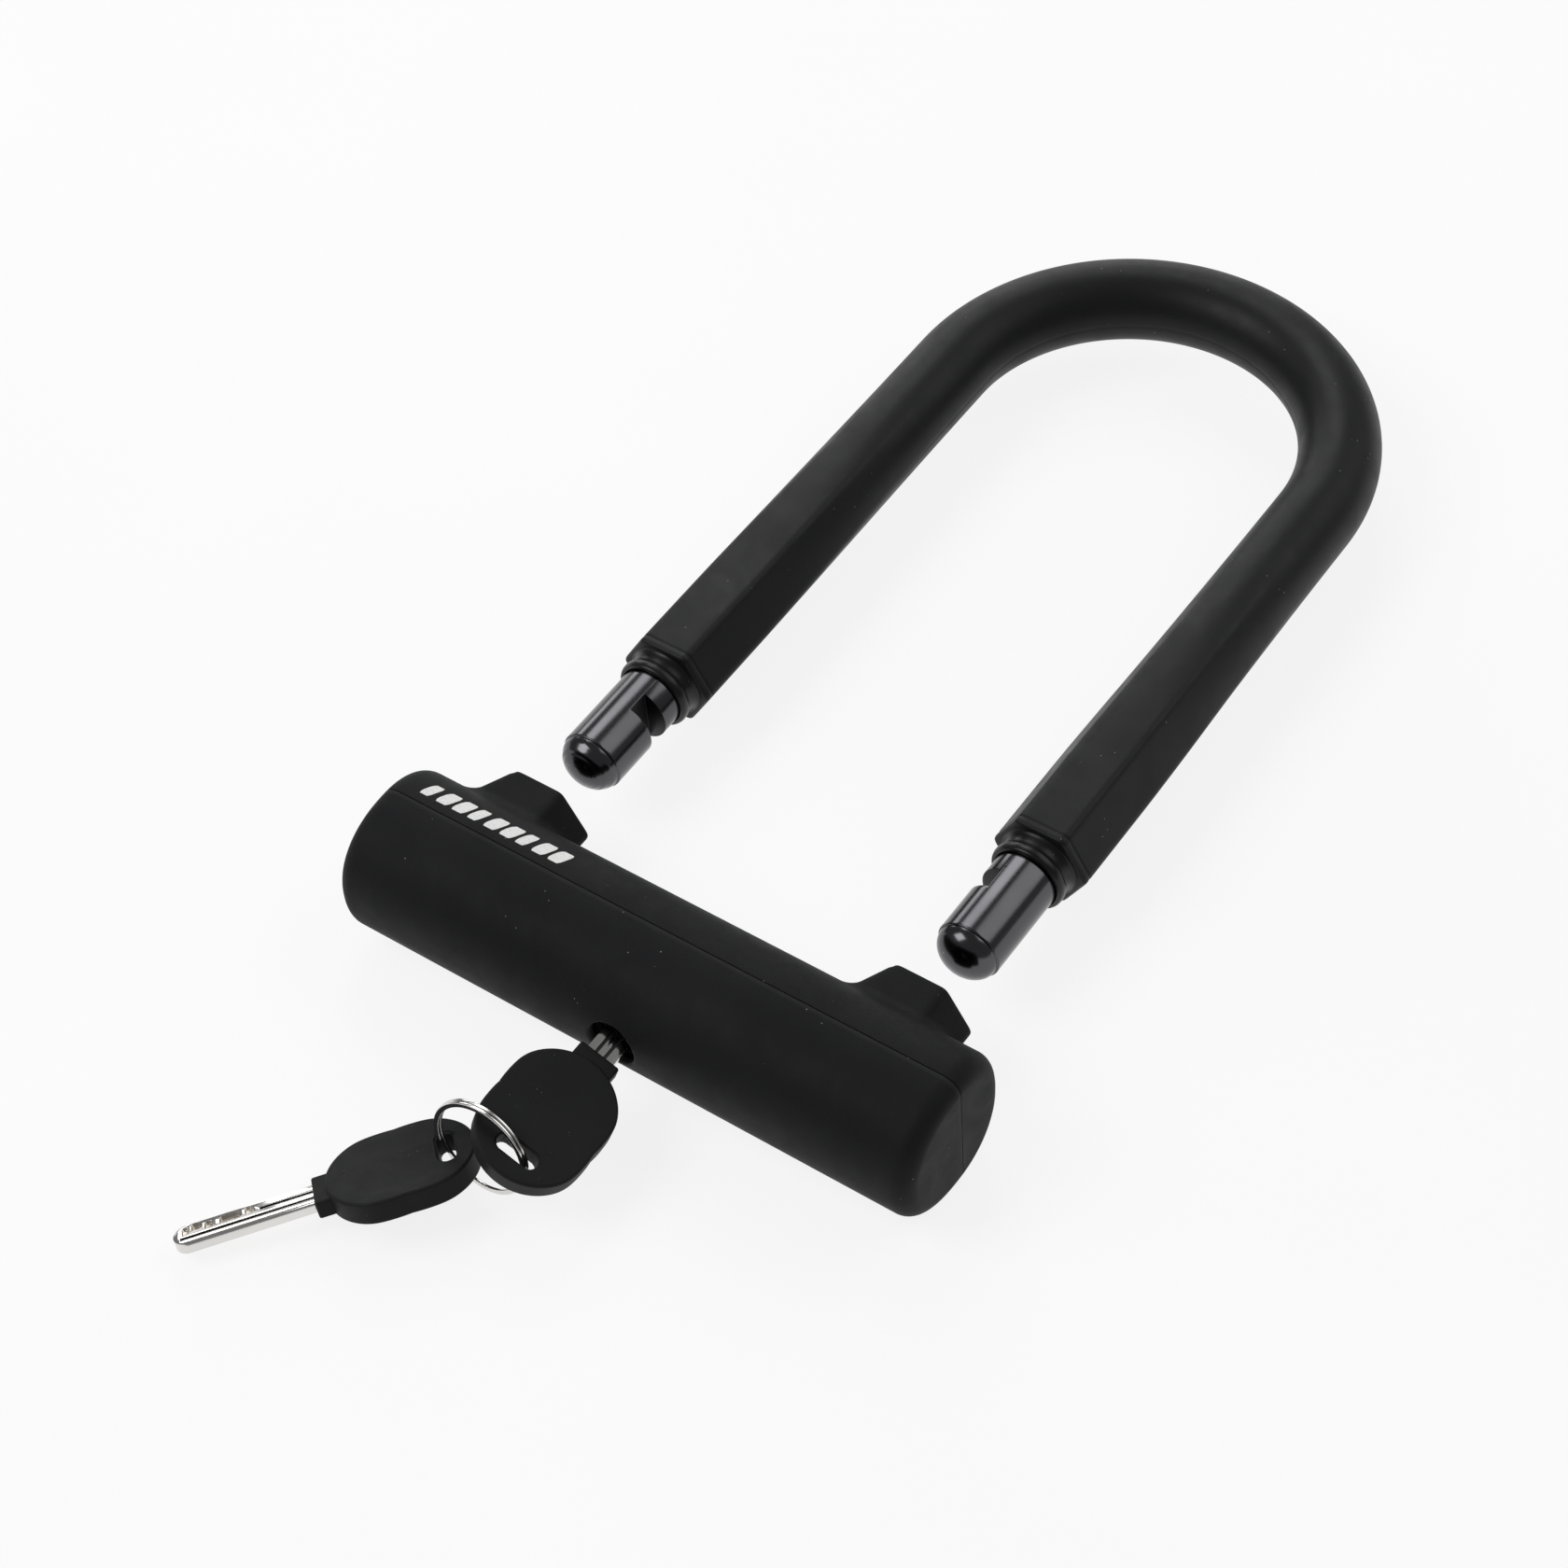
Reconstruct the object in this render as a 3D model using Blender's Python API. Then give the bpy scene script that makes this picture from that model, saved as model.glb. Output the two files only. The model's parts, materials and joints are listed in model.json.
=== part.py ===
"""A bicycle U lock: a covered steel shackle, a crossbar with a disc lock inside, and two keys on a ring.

Lengths are millimetres in the constants and metres in the scene. X runs along the crossbar, Y from the
crossbar towards the bend of the shackle, and Z up. The shackle is drawn out of the crossbar along Y, and
the key is part of the way between its open and its locked position. The constants count from the middle
of the crossbar. The whole is then moved so that the origin is at the middle of its base.
"""
import math

import bmesh
import bpy
from mathutils import Matrix, Vector

MM = 0.001
GAP = 0.3                      # air between pieces that touch
PAST = 1.0                     # how far a cutter passes the face it opens
MIDDLE_Y = 76.9                # from the crossbar's axis to the middle of the whole, which is the origin

# Crossbar shells: a fat oval, deeper on the keyhole side (-Y) than on the shackle side (+Y)
COVER_HALF_LENGTH = 77.5
COVER_FRONT = 20.4             # from the axis to the keyhole side
COVER_REAR = 17.3              # from the axis to the shackle side
COVER_HALF_HEIGHT = 18.5
COVER_POWER = 2.22             # 2 is an ellipse, more is squarer
COVER_FILLET = 4.5
COVER_WALL = 1.6
COVER_END_WALL = 2.4
SEAM_Y = 1.0                   # the plane where the two shells meet
KEYHOLE_RADIUS = 6.0

# Load-bearing tube under the shells
TUBE_WALL = 2.0
TUBE_HALF_LENGTH = 72.0
END_PLUG_LENGTH = 6.0

# Shackle
LEG_X = 52.0                   # legs at -LEG_X and +LEG_X, and the bend's radius
BEND_Y = 198.0
BAR_RADIUS = 8.0
DOME_RADIUS = 7.7
DOME_HEIGHT = 5.5
SHOULDER_Y = 43.0              # where the bare foot ends and its dome begins
NOTCH_START = 12.8             # from the shoulder
NOTCH_WIDTH = 5.5
NOTCH_FLOOR = 2.7              # from the foot's axis to the notch's flat floor
SLEEVE_END_Y = 72.5
SLEEVE_APOTHEM = 10.8          # half the distance across the flats
SLEEVE_BEND_RADIUS = 10.3
SLEEVE_BORE = BAR_RADIUS + GAP
ROUNDING_START_Y = 95.0        # the hexagon turns round between here and ROUNDING_END_Y
ROUNDING_END_Y = 190.0
COLLAR_LENGTH = 5.7
COLLAR_STEP = 2.2
COLLAR_RADIUS = 9.5
COLLAR_TIP_RADIUS = 9.1
COLLAR_CHAMFER = 0.4

# Hexagonal bosses on the rear shell
BOSS_RIM_Y = 24.9
BOSS_ROOT_Y = 6.0
BOSS_SIDE = 13.0
BOSS_BORE = 9.9
BOSS_FLARE = 9.2               # the -X side spreads by this much from rim to root
GUIDE_OUTER = 9.55
GUIDE_BORE = 8.35
GUIDE_START_Y = -12.6
GUIDE_END_Y = 15.0

# Lock cylinder, along Y at the middle of the crossbar
HOUSING_RADIUS = 9.0
HOUSING_FRONT_Y = -17.0
HOUSING_LIP_Y = -15.9
HOUSING_REAR_Y = 7.9
HOUSING_BORE = 7.0
BARREL_RADIUS = 6.7
BARREL_BORE = 5.4
BARREL_FRONT_Y = -15.6
BARREL_FACE = 2.0
BARREL_REAR_Y = 7.7
KEYWAY_WIDTH = 7.6
KEYWAY_HEIGHT = 3.4
DISC_COUNT = 7
DISC_RADIUS = 5.1
DISC_THICKNESS = 1.8
DISC_PITCH = 2.9
DISC_START_Y = -13.2
GATE_WIDTH = 1.8
GATE_FLOOR = 4.3
SIDEBAR_WIDTH = 1.2
SIDEBAR_TOP = 6.4
SIDEBAR_BOTTOM = 4.7
SIDEBAR_START_Y = -12.4
SIDEBAR_END_Y = 5.6
PIN_RADIUS = 1.2
PIN_TOP = -7.4
PIN_BOTTOM = -16.3

# Cam and bolts
CAM_RADIUS = 6.2
CAM_START_Y = 8.0
CAM_END_Y = 9.0
CRANK_RADIUS = 3.6
CRANK_PIN_RADIUS = 1.0
CRANK_PIN_END_Y = 12.2
CRANK_PIN_ROOT = 0.5           # how far the pin is sunk in the disc
TURN_TO_MIDDLE = 25.0          # degrees the key still has to turn to the middle of the bolts' stroke
HALF_TURN = 45.0               # degrees from there to either end of the stroke
BOLT_START_Y = 8.9
BOLT_END_Y = 12.4
BOLT_HALF_HEIGHT = 5.2
BOLT_TIP_X = 43.4
BOLT_WINDOW_GAP = 0.6          # round the bolt in its window
BOLT_SHOULDER_X = 8.0
TAIL_START_Y = 9.3
TAIL_REACH = 4.5
TAIL_INNER_Z = 0.4
SLOT_HALF_WIDTH = 1.35
SLOT_INNER_Z = 1.3

# Keys and ring
KEY_ROLL = 20.0                # degrees that the key stands turned about Y
BLADE_WIDTH = 7.0
BLADE_THICKNESS = 2.6
BLADE_LENGTH = 31.5            # from the neck's face to the tip
TANG_LENGTH = 8.0
GROOVE_WIDTH = 1.4
GROOVE_DEPTH = 0.6
GROOVE_FROM_TIP = 4.0
NECK_LENGTH = 2.8
NECK_HALF_WIDTH = 5.2
NECK_THICKNESS = 4.4
NECK_IN_BOW = 3.0              # how far the neck's block is sunk in the bow
BOW_LENGTH = 34.0
BOW_END_RADIUS = 13.7
BOW_HALF_WIDTH = 13.4
BOW_THICKNESS = 5.6
SLOT_FROM_END = 6.6
SLOT_HALF_LENGTH = 3.3         # between the slot's middle and the centre of either round end
SLOT_RADIUS = 1.9
KEY_NECK_Y = -24.4
RING_RADIUS = 11.7
RING_WIRE = 1.0
RING_IN_SLOT = (0.0, 2.2)      # the wire's place from the middle of the key's slot, along and across
RING_LEAN = (3.7, 32.2, -11.5)  # degrees about the key's Z, X and Y
SPARE_ON_RING = 202.3          # degrees round the ring from one key's wire to the other's
SPARE_TURN = (50.3, -5.2, -21.4)  # degrees about Z, Y and X: heading, slope and roll
SPARE_SLOT_SPOT = (-0.3, 3.1)  # the wire's place from the middle of the spare key's slot

# Facets
OVAL_STEPS = 44
ROUND_STEPS = 24
PIN_STEPS = 12
BEND_STEPS = 18
FILLET_STEPS = 3
LEG_STEPS = 5
DOME_STEPS = 5
BOW_NEAR_STEPS = 4
BOW_FAR_STEPS = 10
SLOT_END_STEPS = 8
TIP_STEPS = 6
WIRE_STEPS = 8
RING_STEPS = 36


# ---------------------------------------------------------------- materials

def material(name, colour, roughness, metallic=0.0):
    mat = bpy.data.materials.new(name)
    mat.use_nodes = True
    shader = mat.node_tree.nodes["Principled BSDF"]
    shader.inputs["Base Color"].default_value = (*colour, 1.0)
    shader.inputs["Roughness"].default_value = roughness
    shader.inputs["Metallic"].default_value = metallic
    return mat


def black_cover():
    return material("black_cover", (0.018, 0.018, 0.020), 0.62)


def black_rubber():
    return material("black_rubber", (0.020, 0.020, 0.021), 0.7)


def black_nickel():
    return material("black_nickel", (0.05, 0.05, 0.055), 0.16, 1.0)


def bow_plastic():
    return material("bow_plastic", (0.024, 0.024, 0.026), 0.6)


def bright_nickel():
    return material("bright_nickel", (0.78, 0.76, 0.72), 0.18, 1.0)


def plain_steel():
    return material("plain_steel", (0.55, 0.55, 0.57), 0.38, 1.0)


def brass():
    return material("brass", (0.72, 0.56, 0.28), 0.32, 1.0)


def guide_plastic():
    return material("guide_plastic", (0.06, 0.06, 0.065), 0.5)


# ---------------------------------------------------------------- mesh helpers

def finish_mesh(name, shape):
    bmesh.ops.recalc_face_normals(shape, faces=shape.faces)
    mesh = bpy.data.meshes.new(name)
    shape.to_mesh(mesh)
    shape.free()
    mesh.shade_smooth()
    mesh.set_sharp_from_angle(angle=math.radians(35))
    return mesh


def bridge(shape, first, second):
    count = len(first)
    for i in range(count):
        j = (i + 1) % count
        shape.faces.new((first[i], first[j], second[j], second[i]))


def ring_verts(shape, points):
    return [shape.verts.new(Vector(point) * MM) for point in points]


def loft(name, rings):
    """One closed solid through a list of rings, with a flat face on each end."""
    shape = bmesh.new()
    loops = [ring_verts(shape, ring) for ring in rings]
    for first, second in zip(loops, loops[1:]):
        bridge(shape, first, second)
    shape.faces.new(loops[0])
    shape.faces.new(loops[-1])
    return finish_mesh(name, shape)


def closed_loft(name, rings):
    """One closed solid through rings whose last joins the first, such as a pipe or a torus."""
    shape = bmesh.new()
    loops = [ring_verts(shape, ring) for ring in rings]
    for first, second in zip(loops, loops[1:] + loops[:1]):
        bridge(shape, first, second)
    return finish_mesh(name, shape)


def circle(radius, y, steps=ROUND_STEPS, centre=(0.0, 0.0)):
    """A circle about the Y axis, moved by centre in X and Z."""
    turns = [2 * math.pi * i / steps for i in range(steps)]
    return [(centre[0] + radius * math.cos(t), y, centre[1] + radius * math.sin(t)) for t in turns]


def rod(name, radius, start_y, end_y, steps=ROUND_STEPS, centre=(0.0, 0.0)):
    return loft(name, [circle(radius, start_y, steps, centre), circle(radius, end_y, steps, centre)])


def turned(name, profile, centre=(0.0, 0.0)):
    """A solid turned about Y from a closed profile of (y, radius) points."""
    return closed_loft(name, [circle(radius, y, centre=centre) for y, radius in profile])


def box(name, low, high):
    shape = bmesh.new()
    bmesh.ops.create_cube(shape, size=1.0)
    centre = [(a + b) / 2 * MM for a, b in zip(low, high)]
    size = [(b - a) * MM for a, b in zip(low, high)]
    bmesh.ops.scale(shape, verts=shape.verts, vec=size)
    bmesh.ops.translate(shape, verts=shape.verts, vec=centre)
    return finish_mesh(name, shape)


def prism(name, outline, low, high):
    """An outline of (x, y) points drawn up from z = low to z = high."""
    return loft(name, [[(x, y, z) for x, y in outline] for z in (low, high)])


# ---------------------------------------------------------------- object helpers

def clear_scene():
    for item in list(bpy.data.objects):
        bpy.data.objects.remove(item, do_unlink=True)


def empty(name, parent=None, matrix=Matrix.Identity(4)):
    item = bpy.data.objects.new(name, None)
    item.empty_display_size = 0.01
    bpy.context.scene.collection.objects.link(item)
    item.parent = parent
    item.matrix_local = matrix
    return item


def place(name, mesh, mat, parent):
    item = bpy.data.objects.new(name, mesh)
    bpy.context.scene.collection.objects.link(item)
    item.parent = parent
    if mat and not mesh.materials:
        mesh.materials.append(mat)
    return item


def apply_boolean(item, mesh, operation):
    cutter = place(item.name + "_cutter_" + mesh.name, mesh, None, item.parent)
    cutter.hide_render = True
    cutter.display_type = "WIRE"
    modifier = item.modifiers.new(mesh.name, "BOOLEAN")
    modifier.operation = operation
    modifier.solver = "EXACT"
    modifier.object = cutter


def cut(item, *meshes):
    for mesh in meshes:
        apply_boolean(item, mesh, "DIFFERENCE")


def fuse(item, *meshes):
    for mesh in meshes:
        apply_boolean(item, mesh, "UNION")


# ---------------------------------------------------------------- crossbar

def oval_point(angle, front, rear, height):
    side = math.cos(angle)
    rise = math.sin(angle)
    reach = rear if side > 0 else front
    y = reach * math.copysign(abs(side) ** (2 / COVER_POWER), side)
    z = height * math.copysign(abs(rise) ** (2 / COVER_POWER), rise)
    return y, z


def oval_ring(x, inset):
    """The crossbar's section, inset by the same amount all round."""
    ring = []
    for i in range(OVAL_STEPS):
        angle = 2 * math.pi * (i + 0.5) / OVAL_STEPS
        y, z = oval_point(angle, COVER_FRONT - inset, COVER_REAR - inset, COVER_HALF_HEIGHT - inset)
        ring.append((x, y, z))
    return ring


def oval_bar(name, half_length, inset):
    return loft(name, [oval_ring(-half_length, inset), oval_ring(half_length, inset)])


def half_oval_ring(x, inset, seam, side):
    """The part of the section on one side of the seam, from its top round to its bottom."""
    depth = (COVER_REAR if seam > 0 else COVER_FRONT) - inset
    start = math.acos((abs(seam) / depth) ** (COVER_POWER / 2))
    if seam * side < 0:
        start = math.pi - start
    ring = []
    steps = OVAL_STEPS // 2
    for i in range(steps + 1):
        angle = start * (1 - 2 * i / steps)
        if side > 0:
            y, z = oval_point(angle, COVER_FRONT - inset, COVER_REAR - inset, COVER_HALF_HEIGHT - inset)
        else:
            y, z = oval_point(math.pi - angle, COVER_FRONT - inset, COVER_REAR - inset,
                              COVER_HALF_HEIGHT - inset)
        ring.append((x, y, z))
    return ring


def cover_half(name, side):
    """One shell's outside: its ends are rounded over by a fillet."""
    seam = SEAM_Y + side * GAP / 2
    right = []
    for i in range(FILLET_STEPS + 1):
        turn = math.pi / 2 * i / FILLET_STEPS
        inset = COVER_FILLET * (1 - math.cos(turn))
        x = COVER_HALF_LENGTH - COVER_FILLET + COVER_FILLET * math.sin(turn)
        right.append((x, inset))
    rings = [half_oval_ring(-x, inset, seam, side) for x, inset in reversed(right)]
    rings += [half_oval_ring(x, inset, seam, side) for x, inset in right]
    return loft(name, rings)


def cover_cavity():
    return oval_bar("cavity", COVER_HALF_LENGTH - COVER_END_WALL, COVER_WALL)


def front_cover(parent):
    cover = place("front_cover", cover_half("front_cover", -1), black_cover(), parent)
    cut(cover, cover_cavity())
    cut(cover, rod("keyhole", KEYHOLE_RADIUS, -COVER_FRONT - PAST, 0))
    cut(cover, rod("housing_pocket", HOUSING_RADIUS + GAP, HOUSING_FRONT_Y - GAP, 0))
    return cover


def boss(name, leg_x):
    """A hexagonal prism with flats above and below, whose -X side spreads towards the bar."""
    apothem = BOSS_SIDE * math.sqrt(3) / 2
    corners = [(BOSS_SIDE, 0), (BOSS_SIDE / 2, apothem), (-BOSS_SIDE / 2, apothem),
               (-BOSS_SIDE, 0), (-BOSS_SIDE / 2, -apothem), (BOSS_SIDE / 2, -apothem)]
    rings = []
    for y, flare in ((BOSS_RIM_Y, 0.0), (BOSS_ROOT_Y, BOSS_FLARE)):
        rings.append([(leg_x + x - (flare if x < 0 else 0), y, z) for x, z in corners])
    return loft(name, rings)


def rear_cover(parent):
    cover = place("rear_cover", cover_half("rear_cover", 1), black_cover(), parent)
    for side in (-1, 1):
        fuse(cover, boss("boss_%+d" % side, side * LEG_X))
    cut(cover, cover_cavity())
    for side in (-1, 1):
        cut(cover, rod("bore_%+d" % side, BOSS_BORE, 0, BOSS_RIM_Y + PAST, centre=(side * LEG_X, 0)))
    return cover


def crossbar_tube(parent):
    outside = COVER_WALL + GAP
    tube = place("crossbar_tube", oval_bar("crossbar_tube", TUBE_HALF_LENGTH, outside), plain_steel(), parent)
    cut(tube, oval_bar("tube_bore", TUBE_HALF_LENGTH + PAST, outside + TUBE_WALL))
    cut(tube, rod("cylinder_hole", HOUSING_RADIUS + GAP, -COVER_FRONT, 0))
    for side in (-1, 1):
        cut(tube, rod("foot_hole_%+d" % side, GUIDE_OUTER + 2 * GAP, 0, COVER_REAR, centre=(side * LEG_X, 0)))
    cut(tube, cross_pin("pin_hole", PIN_RADIUS + GAP, -COVER_HALF_HEIGHT, PIN_TOP))
    return tube


def end_plug(name, side, parent):
    inset = COVER_WALL + TUBE_WALL + 2 * GAP
    outer_x = side * TUBE_HALF_LENGTH
    inner_x = side * (TUBE_HALF_LENGTH - END_PLUG_LENGTH)
    return place(name, loft(name, [oval_ring(inner_x, inset), oval_ring(outer_x, inset)]),
                 guide_plastic(), parent)


def foot_guide(name, side, parent):
    """The socket for one foot, with a window in its inner side for the bolt."""
    centre = (side * LEG_X, 0)
    profile = [(GUIDE_START_Y, GUIDE_OUTER), (GUIDE_END_Y, GUIDE_OUTER),
               (GUIDE_END_Y, GUIDE_BORE), (GUIDE_START_Y, GUIDE_BORE)]
    guide = place(name, turned(name, profile, centre), guide_plastic(), parent)
    xs = sorted((side * (LEG_X - GUIDE_BORE / 2), side * (LEG_X - GUIDE_OUTER - PAST)))
    half_height = BOLT_HALF_HEIGHT + BOLT_WINDOW_GAP
    cut(guide, box("bolt_window", (xs[0], BOLT_START_Y - BOLT_WINDOW_GAP, -half_height),
                   (xs[1], BOLT_END_Y + BOLT_WINDOW_GAP, half_height)))
    return guide


# ---------------------------------------------------------------- lock cylinder

def cross_pin(name, radius, bottom, top):
    """An upright pin halfway along the housing."""
    y = (HOUSING_FRONT_Y + HOUSING_REAR_Y) / 2
    turns = [2 * math.pi * i / PIN_STEPS for i in range(PIN_STEPS)]
    ring = [(radius * math.cos(t), y + radius * math.sin(t)) for t in turns]
    return prism(name, ring, bottom, top)


def cylinder_pin(parent):
    pin = cross_pin("cylinder_pin", PIN_RADIUS, PIN_BOTTOM, PIN_TOP - GAP)
    return place("cylinder_pin", pin, plain_steel(), parent)


def cylinder_housing(parent):
    profile = [(HOUSING_FRONT_Y, HOUSING_RADIUS), (HOUSING_REAR_Y, HOUSING_RADIUS),
               (HOUSING_REAR_Y, HOUSING_BORE), (HOUSING_LIP_Y, HOUSING_BORE),
               (HOUSING_LIP_Y, KEYHOLE_RADIUS), (HOUSING_FRONT_Y, KEYHOLE_RADIUS)]
    housing = place("cylinder_housing", turned("cylinder_housing", profile), brass(), parent)
    cut(housing, cross_pin("pin_seat", PIN_RADIUS + GAP, PIN_BOTTOM, PIN_TOP + GAP))
    return housing


def key_barrel(parent):
    """The cup that turns in the housing, open at the rear, with a keyway and the sidebar's slot."""
    blank = rod("key_barrel", BARREL_RADIUS, BARREL_FRONT_Y, BARREL_REAR_Y)
    barrel = place("key_barrel", blank, brass(), parent)
    cut(barrel, rod("disc_chamber", BARREL_BORE, BARREL_FRONT_Y + BARREL_FACE, BARREL_REAR_Y + PAST))
    cut(barrel, box("keyway", (-KEYWAY_WIDTH / 2, BARREL_FRONT_Y - PAST, -KEYWAY_HEIGHT / 2),
                    (KEYWAY_WIDTH / 2, BARREL_FRONT_Y + BARREL_FACE + PAST, KEYWAY_HEIGHT / 2)))
    cut(barrel, box("sidebar_slot", (-GATE_WIDTH / 2, SIDEBAR_START_Y - GAP, BARREL_BORE - PAST),
                    (GATE_WIDTH / 2, SIDEBAR_END_Y + GAP, BARREL_RADIUS + PAST)))
    return barrel


def lock_disc(index, parent):
    start = DISC_START_Y + index * DISC_PITCH
    end = start + DISC_THICKNESS
    name = "lock_disc_%d" % (index + 1)
    disc = place(name, rod(name, DISC_RADIUS, start, end), brass(), parent)
    cut(disc, box("blade_slot", (-KEYWAY_WIDTH / 2, start - PAST, -KEYWAY_HEIGHT / 2),
                  (KEYWAY_WIDTH / 2, end + PAST, KEYWAY_HEIGHT / 2)))
    cut(disc, box("gate", (-GATE_WIDTH / 2, start - PAST, GATE_FLOOR),
                  (GATE_WIDTH / 2, end + PAST, DISC_RADIUS + PAST)))
    return disc


def sidebar(parent):
    low = (-SIDEBAR_WIDTH / 2, SIDEBAR_START_Y, SIDEBAR_BOTTOM)
    high = (SIDEBAR_WIDTH / 2, SIDEBAR_END_Y, SIDEBAR_TOP)
    return place("sidebar", box("sidebar", low, high), plain_steel(), parent)


def crank_centre(side):
    """Where a crank pin stands about the lock's axis: the upper one drives the right bolt."""
    angle = math.radians(-TURN_TO_MIDDLE)
    return side * CRANK_RADIUS * math.sin(angle), side * CRANK_RADIUS * math.cos(angle)


def bolt_cam(parent):
    cam = place("bolt_cam", rod("bolt_cam", CAM_RADIUS, CAM_START_Y, CAM_END_Y), plain_steel(), parent)
    for side in (-1, 1):
        fuse(cam, rod("crank_pin_%+d" % side, CRANK_PIN_RADIUS, CAM_END_Y - CRANK_PIN_ROOT, CRANK_PIN_END_Y,
                      PIN_STEPS, crank_centre(side)))
    return cam


def bolt_box(name, side, x_range, y_range, z_range):
    """A box given for the right bolt, turned half round the lock's axis for the left one."""
    xs = sorted(side * x for x in x_range)
    zs = sorted(side * z for z in z_range)
    return box(name, (xs[0], y_range[0], zs[0]), (xs[1], y_range[1], zs[1]))


def bolt(name, side, parent):
    """A flat bar whose forked tail reaches past the middle, above or below the other bolt's tail."""
    bar = bolt_box(name, side, (BOLT_SHOULDER_X, BOLT_TIP_X), (BOLT_START_Y, BOLT_END_Y),
                   (-BOLT_HALF_HEIGHT, BOLT_HALF_HEIGHT))
    item = place(name, bar, plain_steel(), parent)
    fuse(item, bolt_box("tail", side, (-TAIL_REACH, BOLT_SHOULDER_X + PAST), (TAIL_START_Y, BOLT_END_Y),
                        (TAIL_INNER_Z, BOLT_HALF_HEIGHT)))
    millimetres_per_degree = CRANK_RADIUS * math.sin(math.radians(HALF_TURN)) / HALF_TURN
    middle = -TURN_TO_MIDDLE * millimetres_per_degree
    cut(item, bolt_box("fork", side, (middle - SLOT_HALF_WIDTH, middle + SLOT_HALF_WIDTH),
                       (TAIL_START_Y - PAST, BOLT_END_Y + PAST), (SLOT_INNER_Z, BOLT_HALF_HEIGHT + PAST)))
    return item


# ---------------------------------------------------------------- shackle

def across(side, centre, angle, radius):
    """A point of a section whose outward direction is side, at angle from that direction towards +Z."""
    point = centre + side * radius * math.cos(angle)
    return (point.x, point.y, radius * math.sin(angle))


def section(centre, side, radius_at):
    turns = [2 * math.pi * i / ROUND_STEPS for i in range(ROUND_STEPS)]
    return [across(side, centre, turn, radius_at(turn)) for turn in turns]


def bend_stations():
    """Centre and outward direction at even steps round the bend, from the left leg to the right."""
    stations = []
    for i in range(BEND_STEPS + 1):
        angle = math.pi * (1 - i / BEND_STEPS)
        side = Vector((math.cos(angle), math.sin(angle), 0.0))
        stations.append((Vector((0.0, BEND_Y, 0.0)) + side * LEG_X, side))
    return stations


def leg_stations(ys, leg_side):
    side = Vector((float(leg_side), 0.0, 0.0))
    return [(Vector((leg_side * LEG_X, y, 0.0)), side) for y in ys]


def foot_profile():
    """(y, radius) from the dome's blunt tip to the shoulder."""
    points = []
    for i in range(1, DOME_STEPS + 1):
        turn = math.pi / 2 * i / DOME_STEPS
        points.append((SHOULDER_Y - DOME_HEIGHT * math.cos(turn), DOME_RADIUS * math.sin(turn)))
    points.append((SHOULDER_Y, BAR_RADIUS))
    return points


def shackle_bar(parent):
    rings = []
    for leg_side in (-1, 1):
        foot = []
        for y, radius in foot_profile():
            (centre, side), = leg_stations([y], leg_side)
            foot.append(section(centre, side, lambda turn, r=radius: r))
        rings.append(foot)
    bend = [section(centre, side, lambda turn: BAR_RADIUS) for centre, side in bend_stations()]
    bar = place("shackle_bar", loft("shackle_bar", rings[0] + bend + rings[1][::-1]), black_nickel(), parent)
    for side in (-1, 1):
        xs = sorted((side * (LEG_X - NOTCH_FLOOR), side * (LEG_X - BAR_RADIUS - PAST)))
        start = SHOULDER_Y + NOTCH_START
        cut(bar, box("notch_%+d" % side, (xs[0], start, -BAR_RADIUS - PAST),
                     (xs[1], start + NOTCH_WIDTH, BAR_RADIUS + PAST)))
    return bar


def hexagon_radius(angle):
    """Distance from the middle to a flat-topped hexagon's outline."""
    sixth = math.pi / 3
    return SLEEVE_APOTHEM / math.cos((angle % sixth) - sixth / 2)


def sleeve_radius(y):
    """The outline at one place on a leg, as a function of angle: hexagonal first, round at the bend."""
    share = (y - ROUNDING_START_Y) / (ROUNDING_END_Y - ROUNDING_START_Y)
    share = min(max(share, 0.0), 1.0)
    share = share * share * (3 - 2 * share)
    return lambda angle: hexagon_radius(angle) * (1 - share) + SLEEVE_BEND_RADIUS * share


def shackle_sleeve(parent):
    step = (ROUNDING_END_Y - ROUNDING_START_Y) / LEG_STEPS
    ys = [SLEEVE_END_Y] + [ROUNDING_START_Y + i * step for i in range(LEG_STEPS + 1)]
    left = leg_stations(ys, -1)
    right = leg_stations(ys[::-1], 1)
    stations = left + bend_stations() + right
    outer = [section(centre, side, sleeve_radius(centre.y)) for centre, side in stations]
    bore_stations = left[:1] + bend_stations() + right[-1:]
    inner = [section(centre, side, lambda turn: SLEEVE_BORE) for centre, side in bore_stations]
    return place("shackle_sleeve", closed_loft("shackle_sleeve", outer + inner[::-1]), black_rubber(), parent)


def collar(name, side, parent):
    start = SLEEVE_END_Y - GAP
    step = start - COLLAR_STEP
    tip = SLEEVE_END_Y - COLLAR_LENGTH
    profile = [(start, COLLAR_RADIUS), (step, COLLAR_RADIUS), (step - COLLAR_CHAMFER, COLLAR_TIP_RADIUS),
               (tip + COLLAR_CHAMFER, COLLAR_TIP_RADIUS), (tip, COLLAR_TIP_RADIUS - COLLAR_CHAMFER),
               (tip, SLEEVE_BORE), (start, SLEEVE_BORE)]
    return place(name, turned(name, profile, (side * LEG_X, 0)), black_rubber(), parent)


# ---------------------------------------------------------------- keys
# A key lies along its own +X, from its neck's face to the end of its bow, with its width along Y.

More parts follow.
